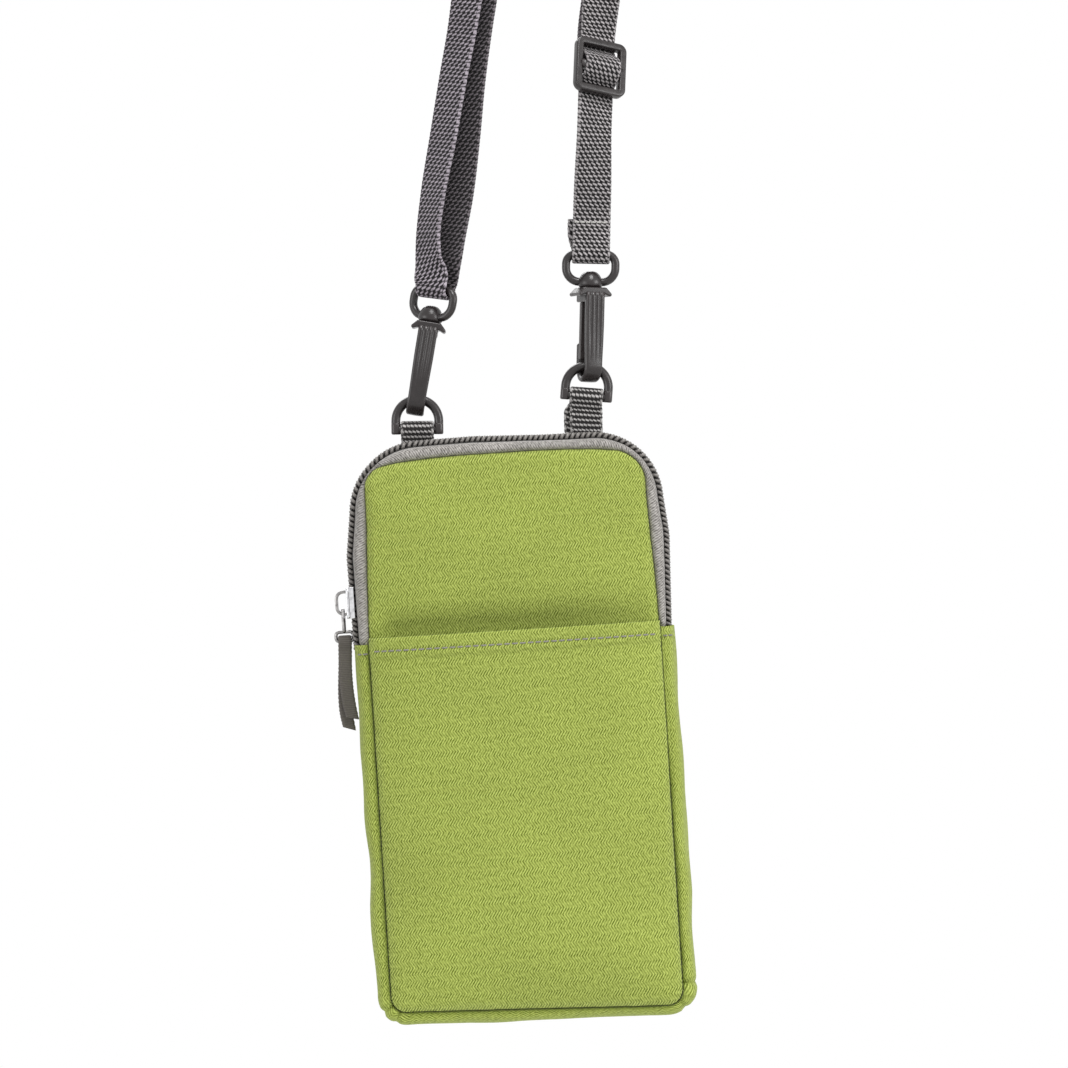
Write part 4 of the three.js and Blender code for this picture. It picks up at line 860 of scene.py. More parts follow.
def make_strap():
    left_loop = smooth_line(left_loop_line(), STRAP_STEP)
    right_loop = smooth_line(loop_line(RIGHT_EYE, LOOP_LEG, TAIL_SLIP, TAIL_LEG), STRAP_STEP)
    weave, sewn = glide_line(GLIDE_PATH), glide_line(SEWN_PATH)
    layers = []
    back_leg = left_loop[::-1] * np.repeat([1, -1], 3)
    for layer, leg, route, last in ((0, left_loop, LEFT_ROUTE, weave), (1, back_leg, LEFT_BACK_ROUTE, sewn)):
        line = np.vstack([leg[LAP], leg[0], strand_line(route, -1, layer), crown_line(layer),
                          strand_line(RIGHT_ROUTE, 1, layer), last])
        line = smooth_line(line, STRAP_STEP)
        top = int(np.argmax(line[:, 2]))
        layers.append(split(line, top + int(np.argmax(line[top:, 2] < RIGHT_SPLIT_Z))))
    lower = smooth_line(np.vstack([right_loop[0], weave[-1], (weave[-1] + weave[-2]) / 2]), STRAP_STEP)
    lower_low, lower_high = split(lower, int(np.argmax(lower[:, 2] > LOWER_SPLIT_Z)))
    (front, front_right), (back, back_right) = layers
    left_bend = [left_loop[0, 2] + rise for rise in LEFT_BEND]
    glide_bend = (RIGHT_SPLIT_Z + GLIDE_BEND[0], GLIDE["z"] + GLIDE_BEND[1])
    eye_bend = (LOWER_SPLIT_Z, right_loop[0, 2] + LOWER_BEND)
    lower_bend = (LOWER_SPLIT_Z, weave[-1, 2] - LOWER_BEND)
    bend = int(np.argmin(left_loop[:, 2]))
    loop_front, loop_back = split(left_loop, bend)
    reach = distances(left_loop[:, :3])
    lap, end_run = LAP * STRAP_STEP, run_of(right_loop)
    rows = (
        ("strap_left_loop", loop_front[::-1], -reach[bend], ["left_strap_loop"], "left_eye"),
        ("strap_left_return", loop_back[::-1], -reach[-1], ["left_strap_loop"], "left_eye", None, SHADED_BACK_WEB),
        ("strap_front", front, -lap, ["strap_front_layer"], "left_eye", left_bend),
        ("strap_back", back, BACK_WEAVE_SLIP - lap, ["strap_back_layer"], "left_eye", left_bend, SHADED_BACK_WEB),
        ("strap_front_right", front_right, run_of(front), ["strap_front_layer", "strap_weave"], "adjuster",
         glide_bend, TURNED_WEB),
        ("strap_back_right", back_right, run_of(back), ["strap_back_layer", "strap_sewn_end"], "adjuster",
         glide_bend, SHADED_BACK_WEB),
        ("strap_right_end", right_loop[::-1], 0, ["right_strap_end"], "right_eye", None, TURNED_WEB),
        ("strap_lower_end", lower_low, end_run, ["strap_lower_run"], "right_eye", eye_bend, TURNED_WEB),
        ("strap_lower_web", lower_high, end_run + run_of(lower_low), ["strap_lower_run"], "adjuster",
         lower_bend, LOWER_WEB))
    (loop, back_loop, front_piece, back_piece, front_end, back_end,
     end_loop, low, high) = [strap_piece(*row) for row in rows]
    less_height(high)
    return right_loop


RIGHT_LOOP = make_strap()


# Bag fabric

MIDDLE_Z = (SEAM_BOTTOM + SEAM_TOP) / 2
PANEL_COLUMNS = 84
PANEL_ROWS = 150
PANEL_TOP = SEAM_TOP - 1.1
LEFT_CORNER = 6.5
RIGHT_CORNER = 9.5
TAPER = 0.033
TAPER_RUN = 42
DROOP = 1.9
DROOP_RUN = 29
SAG = 2.9
RIM_SAG = 1.8
SAG_RUN = 45
SAG_HALF = 38
DROOP_HALF = 40
PUCKER = {"height": 0.55, "size": 4.5, "reach": 6}
SLOW_WAVE = {"height": 0.45, "size": 26, "seed": 7}
FRONT_SEED = 1.5
POCKET_SEED = 9.5
BACK_SEED = 4.5
FOAM_FACE = LINING_FACE + 0.9
LINING_CLOTH = 0.6
HEM_HEIGHT = 7
HEM_FOLD = 0.6
HEM_ROUND = 0.7
POCKET_CLOTH = 1
POCKET_GAP = 0.3
EASY_SEAM = 1.5
HOLLOW = 3.2
HOLLOW_RUN = 7
HOLLOW_EDGE = 8
HOLLOW_BELOW = 0.2
HOLLOW_RIGHT = {"from": 5, "run": 35, "less": 0.55}
EASY_X = (10, 15)
EASY_Z = (62, 26)
HEM_STEP = 1.2
STITCH_GROOVE = 0.22
GROOVE_WIDTH = 0.7
LINING_COLUMNS = 20
SHIFT_LIMIT = 6.0
HALVINGS = 24
BAND_STEP = 0.45
RIM_RUN = 3
SEAM_REACH = 1.6
SLACK_SIZE = 17
SEAM_PUCKER_SIZE = 4
# Unevenness of a band: slow and fast heights, and seed
GUSSET_SLACK = (0.8, 0.5, 2.5)
TAPE_SLACK = (0.3, 0.4, 6.5)
SLACK_RUN = 1.5
FILLED_SEAM = {"depth": 1.3, "width": 0.5, "from": 52, "run": 26}
CREASE_BULGE = 0.5
TAPE_PRESS = {"in": 1.1, "side": 1.6}
BAND_TOP = ZIP_END_Z + 0.3
# Creases of the side band at its lower corners: place from the end of the side, depth and width
LEFT_CREASES = [(2.8, 1.3, 0.45), (4.2, -0.4, 1.0), (5.6, 1.0, 0.45)]
RIGHT_CREASES = [(-5.2, 1.2, 0.45), (-3, -0.6, 1.2), (-0.8, 1.4, 0.45)]
TAPE = 0.6
BAND_OVERLAP = 4
# Profiles of the bands from front to back: outwards from the seam, and back
GUSSET_LINE = [
    (-0.8, -6.2), (0.0, -6.9), (0.12, -8.5), (0.4, -9.5), (1.2, -10.1), (2.4, -9.9), (3.5, -8.8),
    (4.25, -6.8), (4.6, -4.4), (4.6, 3.8), (4.3, 6.2), (3.6, 8.4), (2.6, 10.2), (1.4, 10.7),
    (0.5, 10.1), (0.15, 8.8), (0.05, 6.9), (-0.8, 6.3),
]
FRONT_TAPE_LINE = [
    (-0.8, -5.9), (0.25, -6.1), (0.4, -7.4), (0.7, -8.6), (1.3, -9.0), (1.9, -8.6), (2.35, -7.4),
    (2.45, -6.2), (2.3, -5.2), (2.3, -4.4), (2.4, -3.6), (2.6, -2.6), (2.8, -1.0),
]
BACK_TAPE_LINE = [
    (2.8, 1.0), (2.6, 2.6), (2.4, 3.6), (2.3, 4.5), (2.3, 5.4), (2.45, 6.6), (2.35, 8.0),
    (1.9, 9.4), (1.3, 9.9), (0.7, 9.4), (0.4, 8.0), (0.25, 6.5), (-0.8, 6.3),
]
# How far the zip lies inside or outside an even arch, by the distance along it from the top's middle
RIM_PLACES = [-97, -70, -56, -42, -28, -10, 12, 28, 42, 56, 68, 97]
RIM_SHIFTS = [0, 0.5, -1.3, -1.5, -0.9, -0.5, -1.4, -1.6, -1.5, -1.3, -0.1, -1.2]


def clamp(values):
    return np.clip(values, 0, 1)


def eased(values):
    values = clamp(values)
    return values * values * (3 - 2 * values)


def corner_radius(x, z):
    return np.where(z > MIDDLE_Z, np.where(x < 0, LEFT_CORNER, RIGHT_CORNER), BOTTOM_RADIUS)


def seam_half(z, top_radius):
    """Half the width between the side seams at a height, before the panel is drawn in."""
    into_top = np.clip(z - (PANEL_TOP - top_radius), 0, top_radius)
    into_bottom = np.clip(SEAM_BOTTOM + BOTTOM_RADIUS - z, 0, BOTTOM_RADIUS)
    return (SEAM_HALF - top_radius + np.sqrt(top_radius ** 2 - into_top ** 2)
            - BOTTOM_RADIUS + np.sqrt(BOTTOM_RADIUS ** 2 - into_bottom ** 2))


def seam_depth(x, z):
    """How far inside the seam a place on a panel is, before the panel is drawn in."""
    radius = corner_radius(x, z)
    middle, half = (SEAM_BOTTOM + PANEL_TOP) / 2, (PANEL_TOP - SEAM_BOTTOM) / 2
    over_x = np.abs(x) - (SEAM_HALF - radius)
    over_z = np.abs(z - middle) - (half - radius)
    outside = np.hypot(np.maximum(over_x, 0), np.maximum(over_z, 0))
    return radius - outside - np.minimum(np.maximum(over_x, over_z), 0)


def edge_distance(x, z):
    return np.maximum(seam_depth(x, z), 0)


def sagged(x, z):
    """Share of the low end's sag, which grows to the right."""
    return clamp((x + SAG_HALF) / (2 * SAG_HALF)) * eased(1 - (z - SEAM_BOTTOM) / SAG_RUN)


def drawn_in(x, z):
    """The upper panel narrows a little upwards, its top edge droops to the corners and its low end sags."""
    narrow = 1 - TAPER * eased((z - HEM_Z) / TAPER_RUN)
    droop = DROOP * (np.abs(x) / DROOP_HALF) ** 3 * eased((z - PANEL_TOP + DROOP_RUN) / DROOP_RUN)
    return x * narrow, z - droop - SAG * sagged(x, z)


def let_out(x, z):
    """The place that drawn_in moved here."""
    flat_x, flat_z = x, z
    for _ in range(4):
        moved_x, moved_z = drawn_in(flat_x, flat_z)
        flat_x, flat_z = flat_x + x - moved_x, flat_z + z - moved_z
    return flat_x, flat_z


def swell(x, z):
    """Shape of the padding between the seams, from 0 to 1."""
    side = 1 - clamp(np.abs(x) / SEAM_HALF) ** 3
    from_end = np.minimum(PANEL_TOP - z, z - SEAM_BOTTOM) / CROWN_RUN
    return side * (1 - (1 - clamp(from_end)) ** 2)


def rolled(distance, sink, roll):
    """How far the fabric turns in at a seam."""
    near = 1 - clamp(distance / roll)
    return sink * (1 - np.sqrt(1 - near ** 2))


def ripples(a, b, size, seed):
    """Smooth unevenness over two lengths, about -0.5 to 0.5."""
    spots = zip(np.ravel(a) / size, np.ravel(b) / size)
    return np.array([noise.noise(Vector((p, q, seed))) for p, q in spots]).reshape(np.shape(a))


def unevenness(x, z, seed):
    """Puckers along the seams and slow waves between them."""
    near = np.exp(-edge_distance(x, z) / PUCKER["reach"])
    return (PUCKER["height"] * near * ripples(x, z, PUCKER["size"], seed)
            + SLOW_WAVE["height"] * ripples(x, z, SLOW_WAVE["size"], seed + SLOW_WAVE["seed"]))


def front_wall(x, z):
    """The padded front, drawn in behind the pocket's hem, most on its left and middle."""
    above = (z - HEM_Z + 1) / HOLLOW_RUN
    hollow = HOLLOW * np.exp(-np.where(above > 0, above, HOLLOW_BELOW * above) ** 2)
    right = eased((x - HOLLOW_RIGHT["from"]) / HOLLOW_RIGHT["run"])
    hollow = hollow * (1 - HOLLOW_RIGHT["less"] * right) * clamp(edge_distance(x, z) / HOLLOW_EDGE)
    return (-FRONT_OUT - FRONT_CROWN * swell(x, z) + hollow
            + rolled(edge_distance(x, z), SEAM_SINK, SEAM_ROLL) + unevenness(x, z, FRONT_SEED))


def easy_seam(x, z):
    """Share of the seam that lies nearly flat: the right side, high on the pocket."""
    return eased((x - EASY_X[0]) / EASY_X[1]) * eased((z - EASY_Z[0]) / EASY_Z[1])


def pocket_wall(x, z):
    side = 1 - clamp(np.abs(x) / seam_half(z, LEFT_CORNER)) ** 4
    end = 1 - (1 - clamp((z - SEAM_BOTTOM) / POCKET_RUN)) ** 2
    hem = HEM_FOLD * clamp((z - (HEM_Z - HEM_HEIGHT)) / HEM_STEP)
    stitch = STITCH_GROOVE * np.exp(-((z - HEM_Z + HEM_STITCH_DROP) / GROOVE_WIDTH) ** 2)
    sink = SEAM_SINK - EASY_SEAM * easy_seam(x, z)
    return (-FRONT_OUT - FRONT_CROWN * swell(x, z) - POCKET_GAP - POCKET_DEPTH * side * end
            - POCKET_CLOTH - hem + stitch + rolled(edge_distance(x, z), sink, SEAM_ROLL)
            + unevenness(x, z, POCKET_SEED))


def pocket_face(x, z):
    """The pocket's front, with the hem's top edge rounded."""
    over = clamp((z - HEM_Z + HEM_ROUND) / HEM_ROUND)
    return pocket_wall(x, z) + HEM_ROUND * (1 - np.sqrt(1 - over ** 2))


def pocket_back(x, z):
    return pocket_wall(x, z) + POCKET_CLOTH + HEM_FOLD * clamp((z - HEM_Z + HEM_HEIGHT) / HEM_STEP)


def back_wall(x, z):
    return (BACK_OUT + BACK_CROWN * swell(x, z) - rolled(edge_distance(x, z), SEAM_SINK, SEAM_ROLL)
            - unevenness(x, z, BACK_SEED))


def spaced(low, high, count, ease=0.13):
    """Places that lie closer together towards both ends."""
    t = np.linspace(0, 1, count)
    return low + (high - low) * (t - ease * np.sin(2 * np.pi * t))


def pillow(low, high, front, back, columns=PANEL_COLUMNS, rows=PANEL_ROWS):
    """A closed panel between the seams whose two faces are given as depths."""
    z = spaced(low, high, rows)
    t = spaced(-1, 1, columns)
    x = np.where(t < 0, np.outer(seam_half(z, LEFT_CORNER), t), np.outer(seam_half(z, RIGHT_CORNER), t))
    heights = np.broadcast_to(z[:, None], x.shape)
    seen_x, seen_z = drawn_in(x, heights)
    faces = [np.stack([seen_x, face(x, heights), seen_z], axis=2) for face in (front, back)]
    rings = np.concatenate([faces[0], faces[1][:, ::-1]], axis=1)
    across = np.concatenate([x, x[:, ::-1], x[:, :1]], axis=1)
    return capped(lattice(rings, across, z, wrap=True), 2 * columns)


def level(depth):
    return lambda x, z: np.full_like(x, depth)


def flex(obj):
    """Bakes the transform of a piece of the front's fabric into its mesh."""
    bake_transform(obj)


def panel(name, high, faces, nodes):
    """A padded or folded green panel from the bottom seam up."""
    return show(piece(name, pillow(SEAM_BOTTOM, high, *faces), GREEN), nodes)


def lining_panel(name, face, nodes):
    """The thin lining between two depths."""
    patch = pillow(SEAM_BOTTOM, PANEL_TOP, level(face[0]), level(face[1]), columns=LINING_COLUMNS)
    return show(piece(name, patch, LINING), nodes)


def make_panels():
    front = panel("front_pad", PANEL_TOP, (front_wall, level(-FOAM_FACE)),
                  ["front_panel", "front_foam", "lower_front_wall", "lower_front_foam"])
    lining = lining_panel("front_lining_cloth", (-LINING_FACE - LINING_CLOTH, -LINING_FACE),
                          ["front_lining", "lower_front_lining"])
    pocket = panel("pocket_panel", HEM_Z, (pocket_face, pocket_back), ["front_pocket"])
    back = panel("back_pad", PANEL_TOP, (level(FOAM_FACE), back_wall), ["back_panel", "back_foam"])
    back_lining = lining_panel("back_lining_cloth", (LINING_FACE, LINING_FACE + LINING_CLOTH),
                               ["back_lining"])
    for obj in (front, lining):
        flex(obj)
    for obj in (pocket, back, back_lining):
        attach(obj, "bag")


# Bands along the seam: stations are rows of x, z and the outward direction

def corner(x, z, radius, start, stop, step):
    steps = max(6, round(abs(radians(stop - start)) * radius / step))
    turn = np.radians(np.linspace(start, stop, steps + 1))
    out = np.column_stack([np.cos(turn), np.sin(turn)])
    return np.hstack([np.array([x, z]) + radius * out, out])


def straight(start, stop, out, step):
    count = max(2, round(dist(start, stop) / step) + 1)
    return np.column_stack([np.linspace(start[0], stop[0], count), np.linspace(start[1], stop[1], count),
                            np.full(count, out[0]), np.full(count, out[1])])


def seam_path(end, edge, radius, way, step, corner_step):
    """From the left side, over the top (way 1) or under the bottom (way -1), to the right side."""
    middle, height, turn = SEAM_HALF - radius, edge - way * radius, 90 * way
    return np.vstack([
        straight((-SEAM_HALF, end), (-SEAM_HALF, height), (-1, 0), step)[:-1],
        corner(-middle, height, radius, 180, 180 - turn, corner_step),
        straight((-middle, edge), (middle, edge), (0, way), step)[1:-1],
        corner(middle, height, radius, 180 - turn, 180 - 2 * turn, corner_step),
        straight((SEAM_HALF, height), (SEAM_HALF, end), (1, 0), step)[1:]])


def arch_path(low):
    return seam_path(low, SEAM_TOP, TOP_RADIUS, 1, 1.0, 0.7)


def gusset_path(top):
    return seam_path(top, SEAM_BOTTOM, BOTTOM_RADIUS, -1, 0.7, 0.4)


def seam_shift(path):
    """How far outside the path's own line the panels' seam runs at each station."""
    low, high = np.full(len(path), -SHIFT_LIMIT), np.full(len(path), SHIFT_LIMIT)
    for _ in range(HALVINGS):
        middle = (low + high) / 2
        inside = seam_depth(*let_out(*(path[:, :2] + middle[:, None] * path[:, 2:]).T)) > 0
        low, high = np.where(inside, middle, low), np.where(inside, high, middle)
    return low


def rim_shift(path):
    """How far the zip lies outside an even arch at each station."""
    along = distances(path[:, :2])
    return np.interp(along - along[-1] / 2, RIM_PLACES, RIM_SHIFTS)


def band_patch(path, profile, wave, rim):
    """A profile [outward, y] carried along the panels' seam, its outer part moved out by rim;
    wave(along, out, y) gives how far it moves outwards and back."""
    line = smooth_line([(out, y, 0) for out, y in profile], BAND_STEP)[:, :2]
    along = distances(path[:, :2])
    outer = eased(line[None, :, 0] / RIM_RUN)
    shift = seam_shift(path)[:, None] * (1 - outer) + rim[:, None] * outer
    out_move, y_move = wave(along[:, None], line[None, :, 0], line[None, :, 1])
    out = line[:, 0] + shift + out_move
    y = line[:, 1] + y_move + 0 * out
    points = np.stack([path[:, :1] + out * path[:, 2:3], y, path[:, 1:2] + out * path[:, 3:]], axis=2)
    return lattice(points, distances(line), along)


def outward(patch):
    """The patch with its faces turned so that the crests along the seam face away from the bag."""
    points, faces, places = patch
    rings = points[np.array([face[:3] for face in faces])]
    normals = np.cross(rings[:, 1] - rings[:, 0], rings[:, 2] - rings[:, 0])
    crest = np.abs(rings[:, 0, 1]) > 0.95 * np.abs(points[:, 1]).max()
    if np.sum(normals[crest, 1] * rings[crest, 0, 1]) > 0:
        return patch
    flipped = [p for i in range(0, len(places), 4) for p in places[i:i + 4][::-1]]
    return points, [face[::-1] for face in faces], flipped


def pucker(along, out, y, slow, fast, seed):
    shape = np.broadcast_to(along, np.broadcast(along, y).shape)
    side = np.broadcast_to(y, shape.shape)
    seam = np.exp(-np.maximum(out, 0) / SEAM_REACH)
    return (slow * ripples(shape, side, SLACK_SIZE, seed)
            + fast * seam * ripples(shape, side, SEAM_PUCKER_SIZE, seed + 3))


def gusset_wave(along, out, y):
    """Slack in the side band, creases at the lower corners and a seam that fills up high on the right."""
    side = BAND_TOP - SEAM_BOTTOM - BOTTOM_RADIUS
    right = along.max() - side
    moved = pucker(along, out, y, *GUSSET_SLACK) * clamp(out / SLACK_RUN)
    front = clamp((-y - 5) / 3)
    filled = eased((along - right - FILLED_SEAM["from"]) / FILLED_SEAM["run"])
    near = np.exp(-(np.maximum(out, 0) / FILLED_SEAM["width"]) ** 2)
    dip = -FILLED_SEAM["depth"] * near * front * filled
    creases = [(side + place, *size) for place, *size in LEFT_CREASES]
    creases += [(right + place, *size) for place, *size in RIGHT_CREASES]
    for place, depth, width in creases:
        crease = depth * np.exp(-((along - place) / width) ** 2)
        dip = dip + crease * front * clamp(1.4 - out / 4)
        moved = moved - CREASE_BULGE * crease * clamp(out / 2.5)
    return moved, dip


def tape_wave(along, out, y):
    """Small puckers, and each end pressed in under the side band."""
    ends = np.minimum(along, along.max() - along)
    pressed = 1 - eased((ends - BAND_OVERLAP + 1) / 2)
    moved = pucker(along, out, y, *TAPE_SLACK) * clamp(out / SLACK_RUN) * clamp((np.abs(y) - 5) / 2)
    aside = TAPE_PRESS["side"] * pressed * np.sign(y) * clamp((np.abs(y) - 6) / 2)
    return moved - TAPE_PRESS["in"] * pressed * clamp(out / SLACK_RUN), -aside


def tape(name, path, profile, nodes):
    """Half of the zip's tape."""
    patch = outward(band_patch(path, profile, tape_wave, rim_shift(path)))
    obj = piece(name, patch, TAPE_CLOTH, closed=False)
    return show(thicken(obj, TAPE, side=1), nodes)


def make_bands():
    path = gusset_path(BAND_TOP)
    sag = RIM_SAG * sagged(path[:, 0], path[:, 1]) * clamp(-path[:, 3])
    patch = outward(band_patch(path, GUSSET_LINE, gusset_wave, sag))
    gusset = piece("side_band", patch, GREEN, closed=False)
    show(thicken(gusset, FABRIC, LINING), ["gusset"], "bag")
    path = arch_path(ZIP_END_Z - BAND_OVERLAP)
    front = tape("front_tape", path, FRONT_TAPE_LINE,
                 ["zip_tape_front", "zip_tape_left_end", "zip_tape_right_end"])
    flex(front)
    back = tape("back_tape", path, BACK_TAPE_LINE, ["zip_tape_back"])
    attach(back, "bag")


# Zip teeth: turns of a nylon coil

# One turn of the coil: along the arch, back and outwards
COIL_TURN = [(-0.5, 2.4, 3.5), (-0.2, 2.8, 3.9), (0.1, 2.65, 4.4), (0.3, 2.0, 4.7), (0.4, 0.8, 4.75),
             (0.45, -0.7, 4.6)]
COIL_PHASE = 0.4
COIL_WIRE = 0.52
COIL_LOW = ZIP_END_Z - 1.5
# Cords under the coil: outward, back and radius
FOOT_CORD = (2.9, 3.6, 0.42)
CORE_CORD = (3.7, 1.6, 0.85)


def tooth_row(path, way, phase, keep):
    """Half the chain: a turn of the coil at each pitch along the arch where keep(x, z) says so."""
    along = distances(path[:, :2])
    rim = rim_shift(path)
    bend = smooth_line([(a, way * y, out) for a, y, out in COIL_TURN], 0.6)
    shape = sweep(bend, (0.8, 0, 0.2), circle(COIL_WIRE, 7))
    turns = []
    for place in np.arange(phase, along[-1], TOOTH_PITCH):
        x, z, out_x, out_z = (np.interp(place, along, column) for column in path.T)
        if keep(x, z):
            lift = np.interp(place, along, rim)
            turns.append(turned(shape, Matrix(((out_z, 0, out_x, x + lift * out_x), (0, 1, 0, 0),
                                               (-out_x, 0, out_z, z + lift * out_z), (0, 0, 0, 1)))))
    return merged(turns)


def make_cord(name, way, nodes):
    """The cords that a row of teeth is sewn on and round: real cords, made near-black as painted shade under
    the tape's lip.
    """
    path = arch_path(COIL_LOW)
    rim = rim_shift(path)
    tubes = []
    for out, y, radius in (FOOT_CORD, CORE_CORD):
        reach = (rim + out)[:, None] * path[:, 2:]
        line = np.column_stack([path[:, 0] + reach[:, 0], np.full(len(path), way * y),
                                path[:, 1] + reach[:, 1]])
        tubes.append(sweep(line, (0, 1, 0), circle(radius, 8)))
    return show(piece(name, merged(tubes), SHADED_CORD_CLOTH), nodes)


def make_teeth():
    path = arch_path(COIL_LOW)
    rows = (
        ("front_teeth", -1, COIL_PHASE, lambda x, z: z > FOLD_Z, "front_flap", ["zip_teeth_front"]),
        ("right_end_teeth", -1, COIL_PHASE, lambda x, z: x > 0 and z < FOLD_Z, "bag",
         ["zip_teeth_right_end"]),
        ("left_end_teeth", -1, COIL_PHASE, lambda x, z: x < 0 and z < FOLD_Z, "bag", ["zip_tape_left_end"]),
        ("back_teeth", 1, COIL_PHASE + TOOTH_PITCH / 2, lambda x, z: True, "bag", ["zip_teeth_back"]))
    for name, way, phase, keep, body, nodes in rows:
        show(piece(name, tooth_row(path, way, phase, keep), TEETH), nodes, body)
    flex(make_cord("front_chain_cord", -1, ["zip_teeth_front", "zip_teeth_right_end"]))
    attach(make_cord("back_chain_cord", 1, ["zip_teeth_back"]), "bag")


make_panels()
make_bands()
make_teeth()


# Stitches

STITCH = 1.9
STITCH_PITCH = 2.45
STITCH_RADIUS = 0.26
BAND_STITCH_DROP = 2.6
FIRST_STITCH = 0.3
STITCH_LIFT = (-1.2, 0.1, 0.55, 0.65, 0.55, 0.1, -1.2)
HEM_MARGIN = 1.6
END_SEAM_HALF = 5.7
END_SEAM_DROP = 1.2
# Stitches that differ: length, pitch and, at the strap's end, radius
BAND_STITCH = (1.5, 2.1)
END_STITCH = (1.4, 1.75, 0.3)


def stitch_row(line, face, length=STITCH, pitch=STITCH_PITCH, radius=STITCH_RADIUS):
    """Threads along a line on cloth that faces a way, each one's ends pulled in."""
    along = distances(line)
    face = np.asarray(face, float)
    rows = []
    for start in np.arange(FIRST_STITCH, along[-1] - length, pitch):
        places = start + length * np.linspace(0, 1, len(STITCH_LIFT))
        spots = np.column_stack([np.interp(places, along, line[:, k]) for k in range(3)])
        lift = radius * np.array(STITCH_LIFT)
        rows.append(sweep(spots + lift[:, None] * face, face, circle(radius, 6)))
    return merged(rows)


def make_stitches():
    across = np.linspace(-SEAM_HALF + HEM_MARGIN, SEAM_HALF - HEM_MARGIN, 180)
    height = np.full_like(across, HEM_Z - HEM_STITCH_DROP)
    hem = stitch_row(np.column_stack([across, pocket_face(across, height), height]), (0, -1, 0))
    show(piece("hem_stitches", hem, THREAD), ["front_pocket"], "bag")
    corner_line = smooth_line([(out, y, 0) for out, y in GUSSET_LINE[3:8]], 0.3)
    bands = []
    for side in (-1, 1):
        line = np.column_stack([side * (SEAM_HALF + corner_line[:, 0] + 0.1), corner_line[:, 1] - 0.1,
                                np.full(len(corner_line), ZIP_END_Z - BAND_STITCH_DROP)])
        bands.append(stitch_row(line, (side * 0.6, -0.8, 0), *BAND_STITCH))
    show(piece("band_stitches", merged(bands), THREAD), ["gusset"], "bag")
    half = len(RIGHT_LOOP) // 2
    row = RIGHT_LOOP[int(np.argmin(np.abs(RIGHT_LOOP[:half, 2] - RIGHT_LOOP[-1, 2] + END_SEAM_DROP)))]
    face = unit(row[3:])
    way = np.array(RIGHT_EYE.to_3x3() @ Vector((1, 0, 0)))
    line = row[:3] + np.linspace(-END_SEAM_HALF, END_SEAM_HALF, 30)[:, None] * way + face * STRAP / 2
    end = piece("strap_end_stitches", stitch_row(line, face, *END_STITCH), PALE_THREAD)
    show(end, ["right_strap_end"], "right_eye")


make_stitches()


# Moulded hooks, rings and eyes

RING_HALF = (RING_INNER_WIDTH + RING_WIRE) / 2
SPINE_INNER = SPINE - SPINE_BACK
NOSE_INNER = SPINE_INNER + THROAT_WIDTH
JAW_WIDTH = 5.7
NOSE_WIDTH = 5
NOSE_TIP = 7.6
FLUTE_DEPTH = 0.3
FLUTE_WIDTH = 0.3
FLUTES = (-1.5, 0.1, 1.5)
WING_TIP = 0.5
WING_ROOT = 0.6
WING_EDGE = 2.1
GATE_ROOT = 0.4
GATE_WIDTH = 5
CLEARANCE = 0.3
STEM_RADIUS = 1.5
PLASTIC_ROUND = 0.35
BOSS_LINE = [(1.0, 0.0), (1.05, 0.14), (1.03, 0.32), (0.93, 0.55), (0.76, 0.78), (0.52, 0.95), (0.22, 1.02)]
FOOT_SIZE = (3.0, 3.0, 3.7)
GLIDE_PLAY = 0.4
COLLAR_ROUND = 0.5
BAR_PLACES = (-3, 0, 3)
RING_SIDE = 2.4
FOOT_PLACE = (RING_HALF - 0.05, 0.4)
FOOT_ROUND = 1.1
SECTION_COLUMNS = 27
SECTION_EDGE = 0.55
FACE_BOW = 0.12
SPINE_TOP = HOOK_LENGTH - 1.5
FLUTE_FROM, FLUTE_RUN = 2, 12
SPINE_FROM, SPINE_RUN = 1, 6
TIP_LENGTH = 0.6
TIP_SCALE = 0.72
STEM_DEPTH = 1.5
GLIDE_ROUND = 0.55
GLIDE_BAR_ROUND = 1.0
# How a block narrows to its ends: share of its height from the middle, and scale
BLOCK_ENDS = [(-0.5, 0.78), (-0.44, 0.95), (-0.36, 1), (0.36, 1), (0.44, 0.95), (0.5, 0.78)]


def bar_place(side):
    """Middle of the straight bar of a D-ring."""
    lean = radians(side["ring_lean"])
    return side["x"] - RING_REACH * sin(lean), side["z"] - RING_REACH * cos(lean)


def fit(name, patch, matrix, material, body, nodes, round_by=0, segments=2):
    """A rigid piece built in its own frame, set in place, rounded and given to its body."""
    obj = piece(name, turned(patch, matrix), material)
    if round_by:
        rounded_edges(obj, round_by, segments)
    return show(obj, nodes, body)


def plastic(name, patch, matrix, body, node, round_by=0, segments=2):
    return fit(name, patch, matrix, PLASTIC, body, [node], round_by, segments)


def block(size, middle, corner=0.7):
    """A rounded block with softened ends."""
    rings = []
    section = oblong(size[0], size[1], corner, 3)
    for t, scale in BLOCK_ENDS:
        rings.append([(middle[0] + scale * a, middle[1] + scale * b, middle[2] + t * size[2])
                      for a, b in section])
    around = distances(np.vstack([section, section[:1]]))
    return capped(lattice(rings, around, np.linspace(0, size[2], len(rings)), wrap=True), len(section))


def wire(outline, radius, across=(0, 1, 0), sides=14):
    """A closed round wire along an outline [x, z]."""
    return sweep(in_plane(outline), across, circle(radius, sides), closed=True)


def without_repeats(points):
    return [p for p, q in zip(points, points[-1:] + points[:-1]) if dist(p, q) > 0.02]


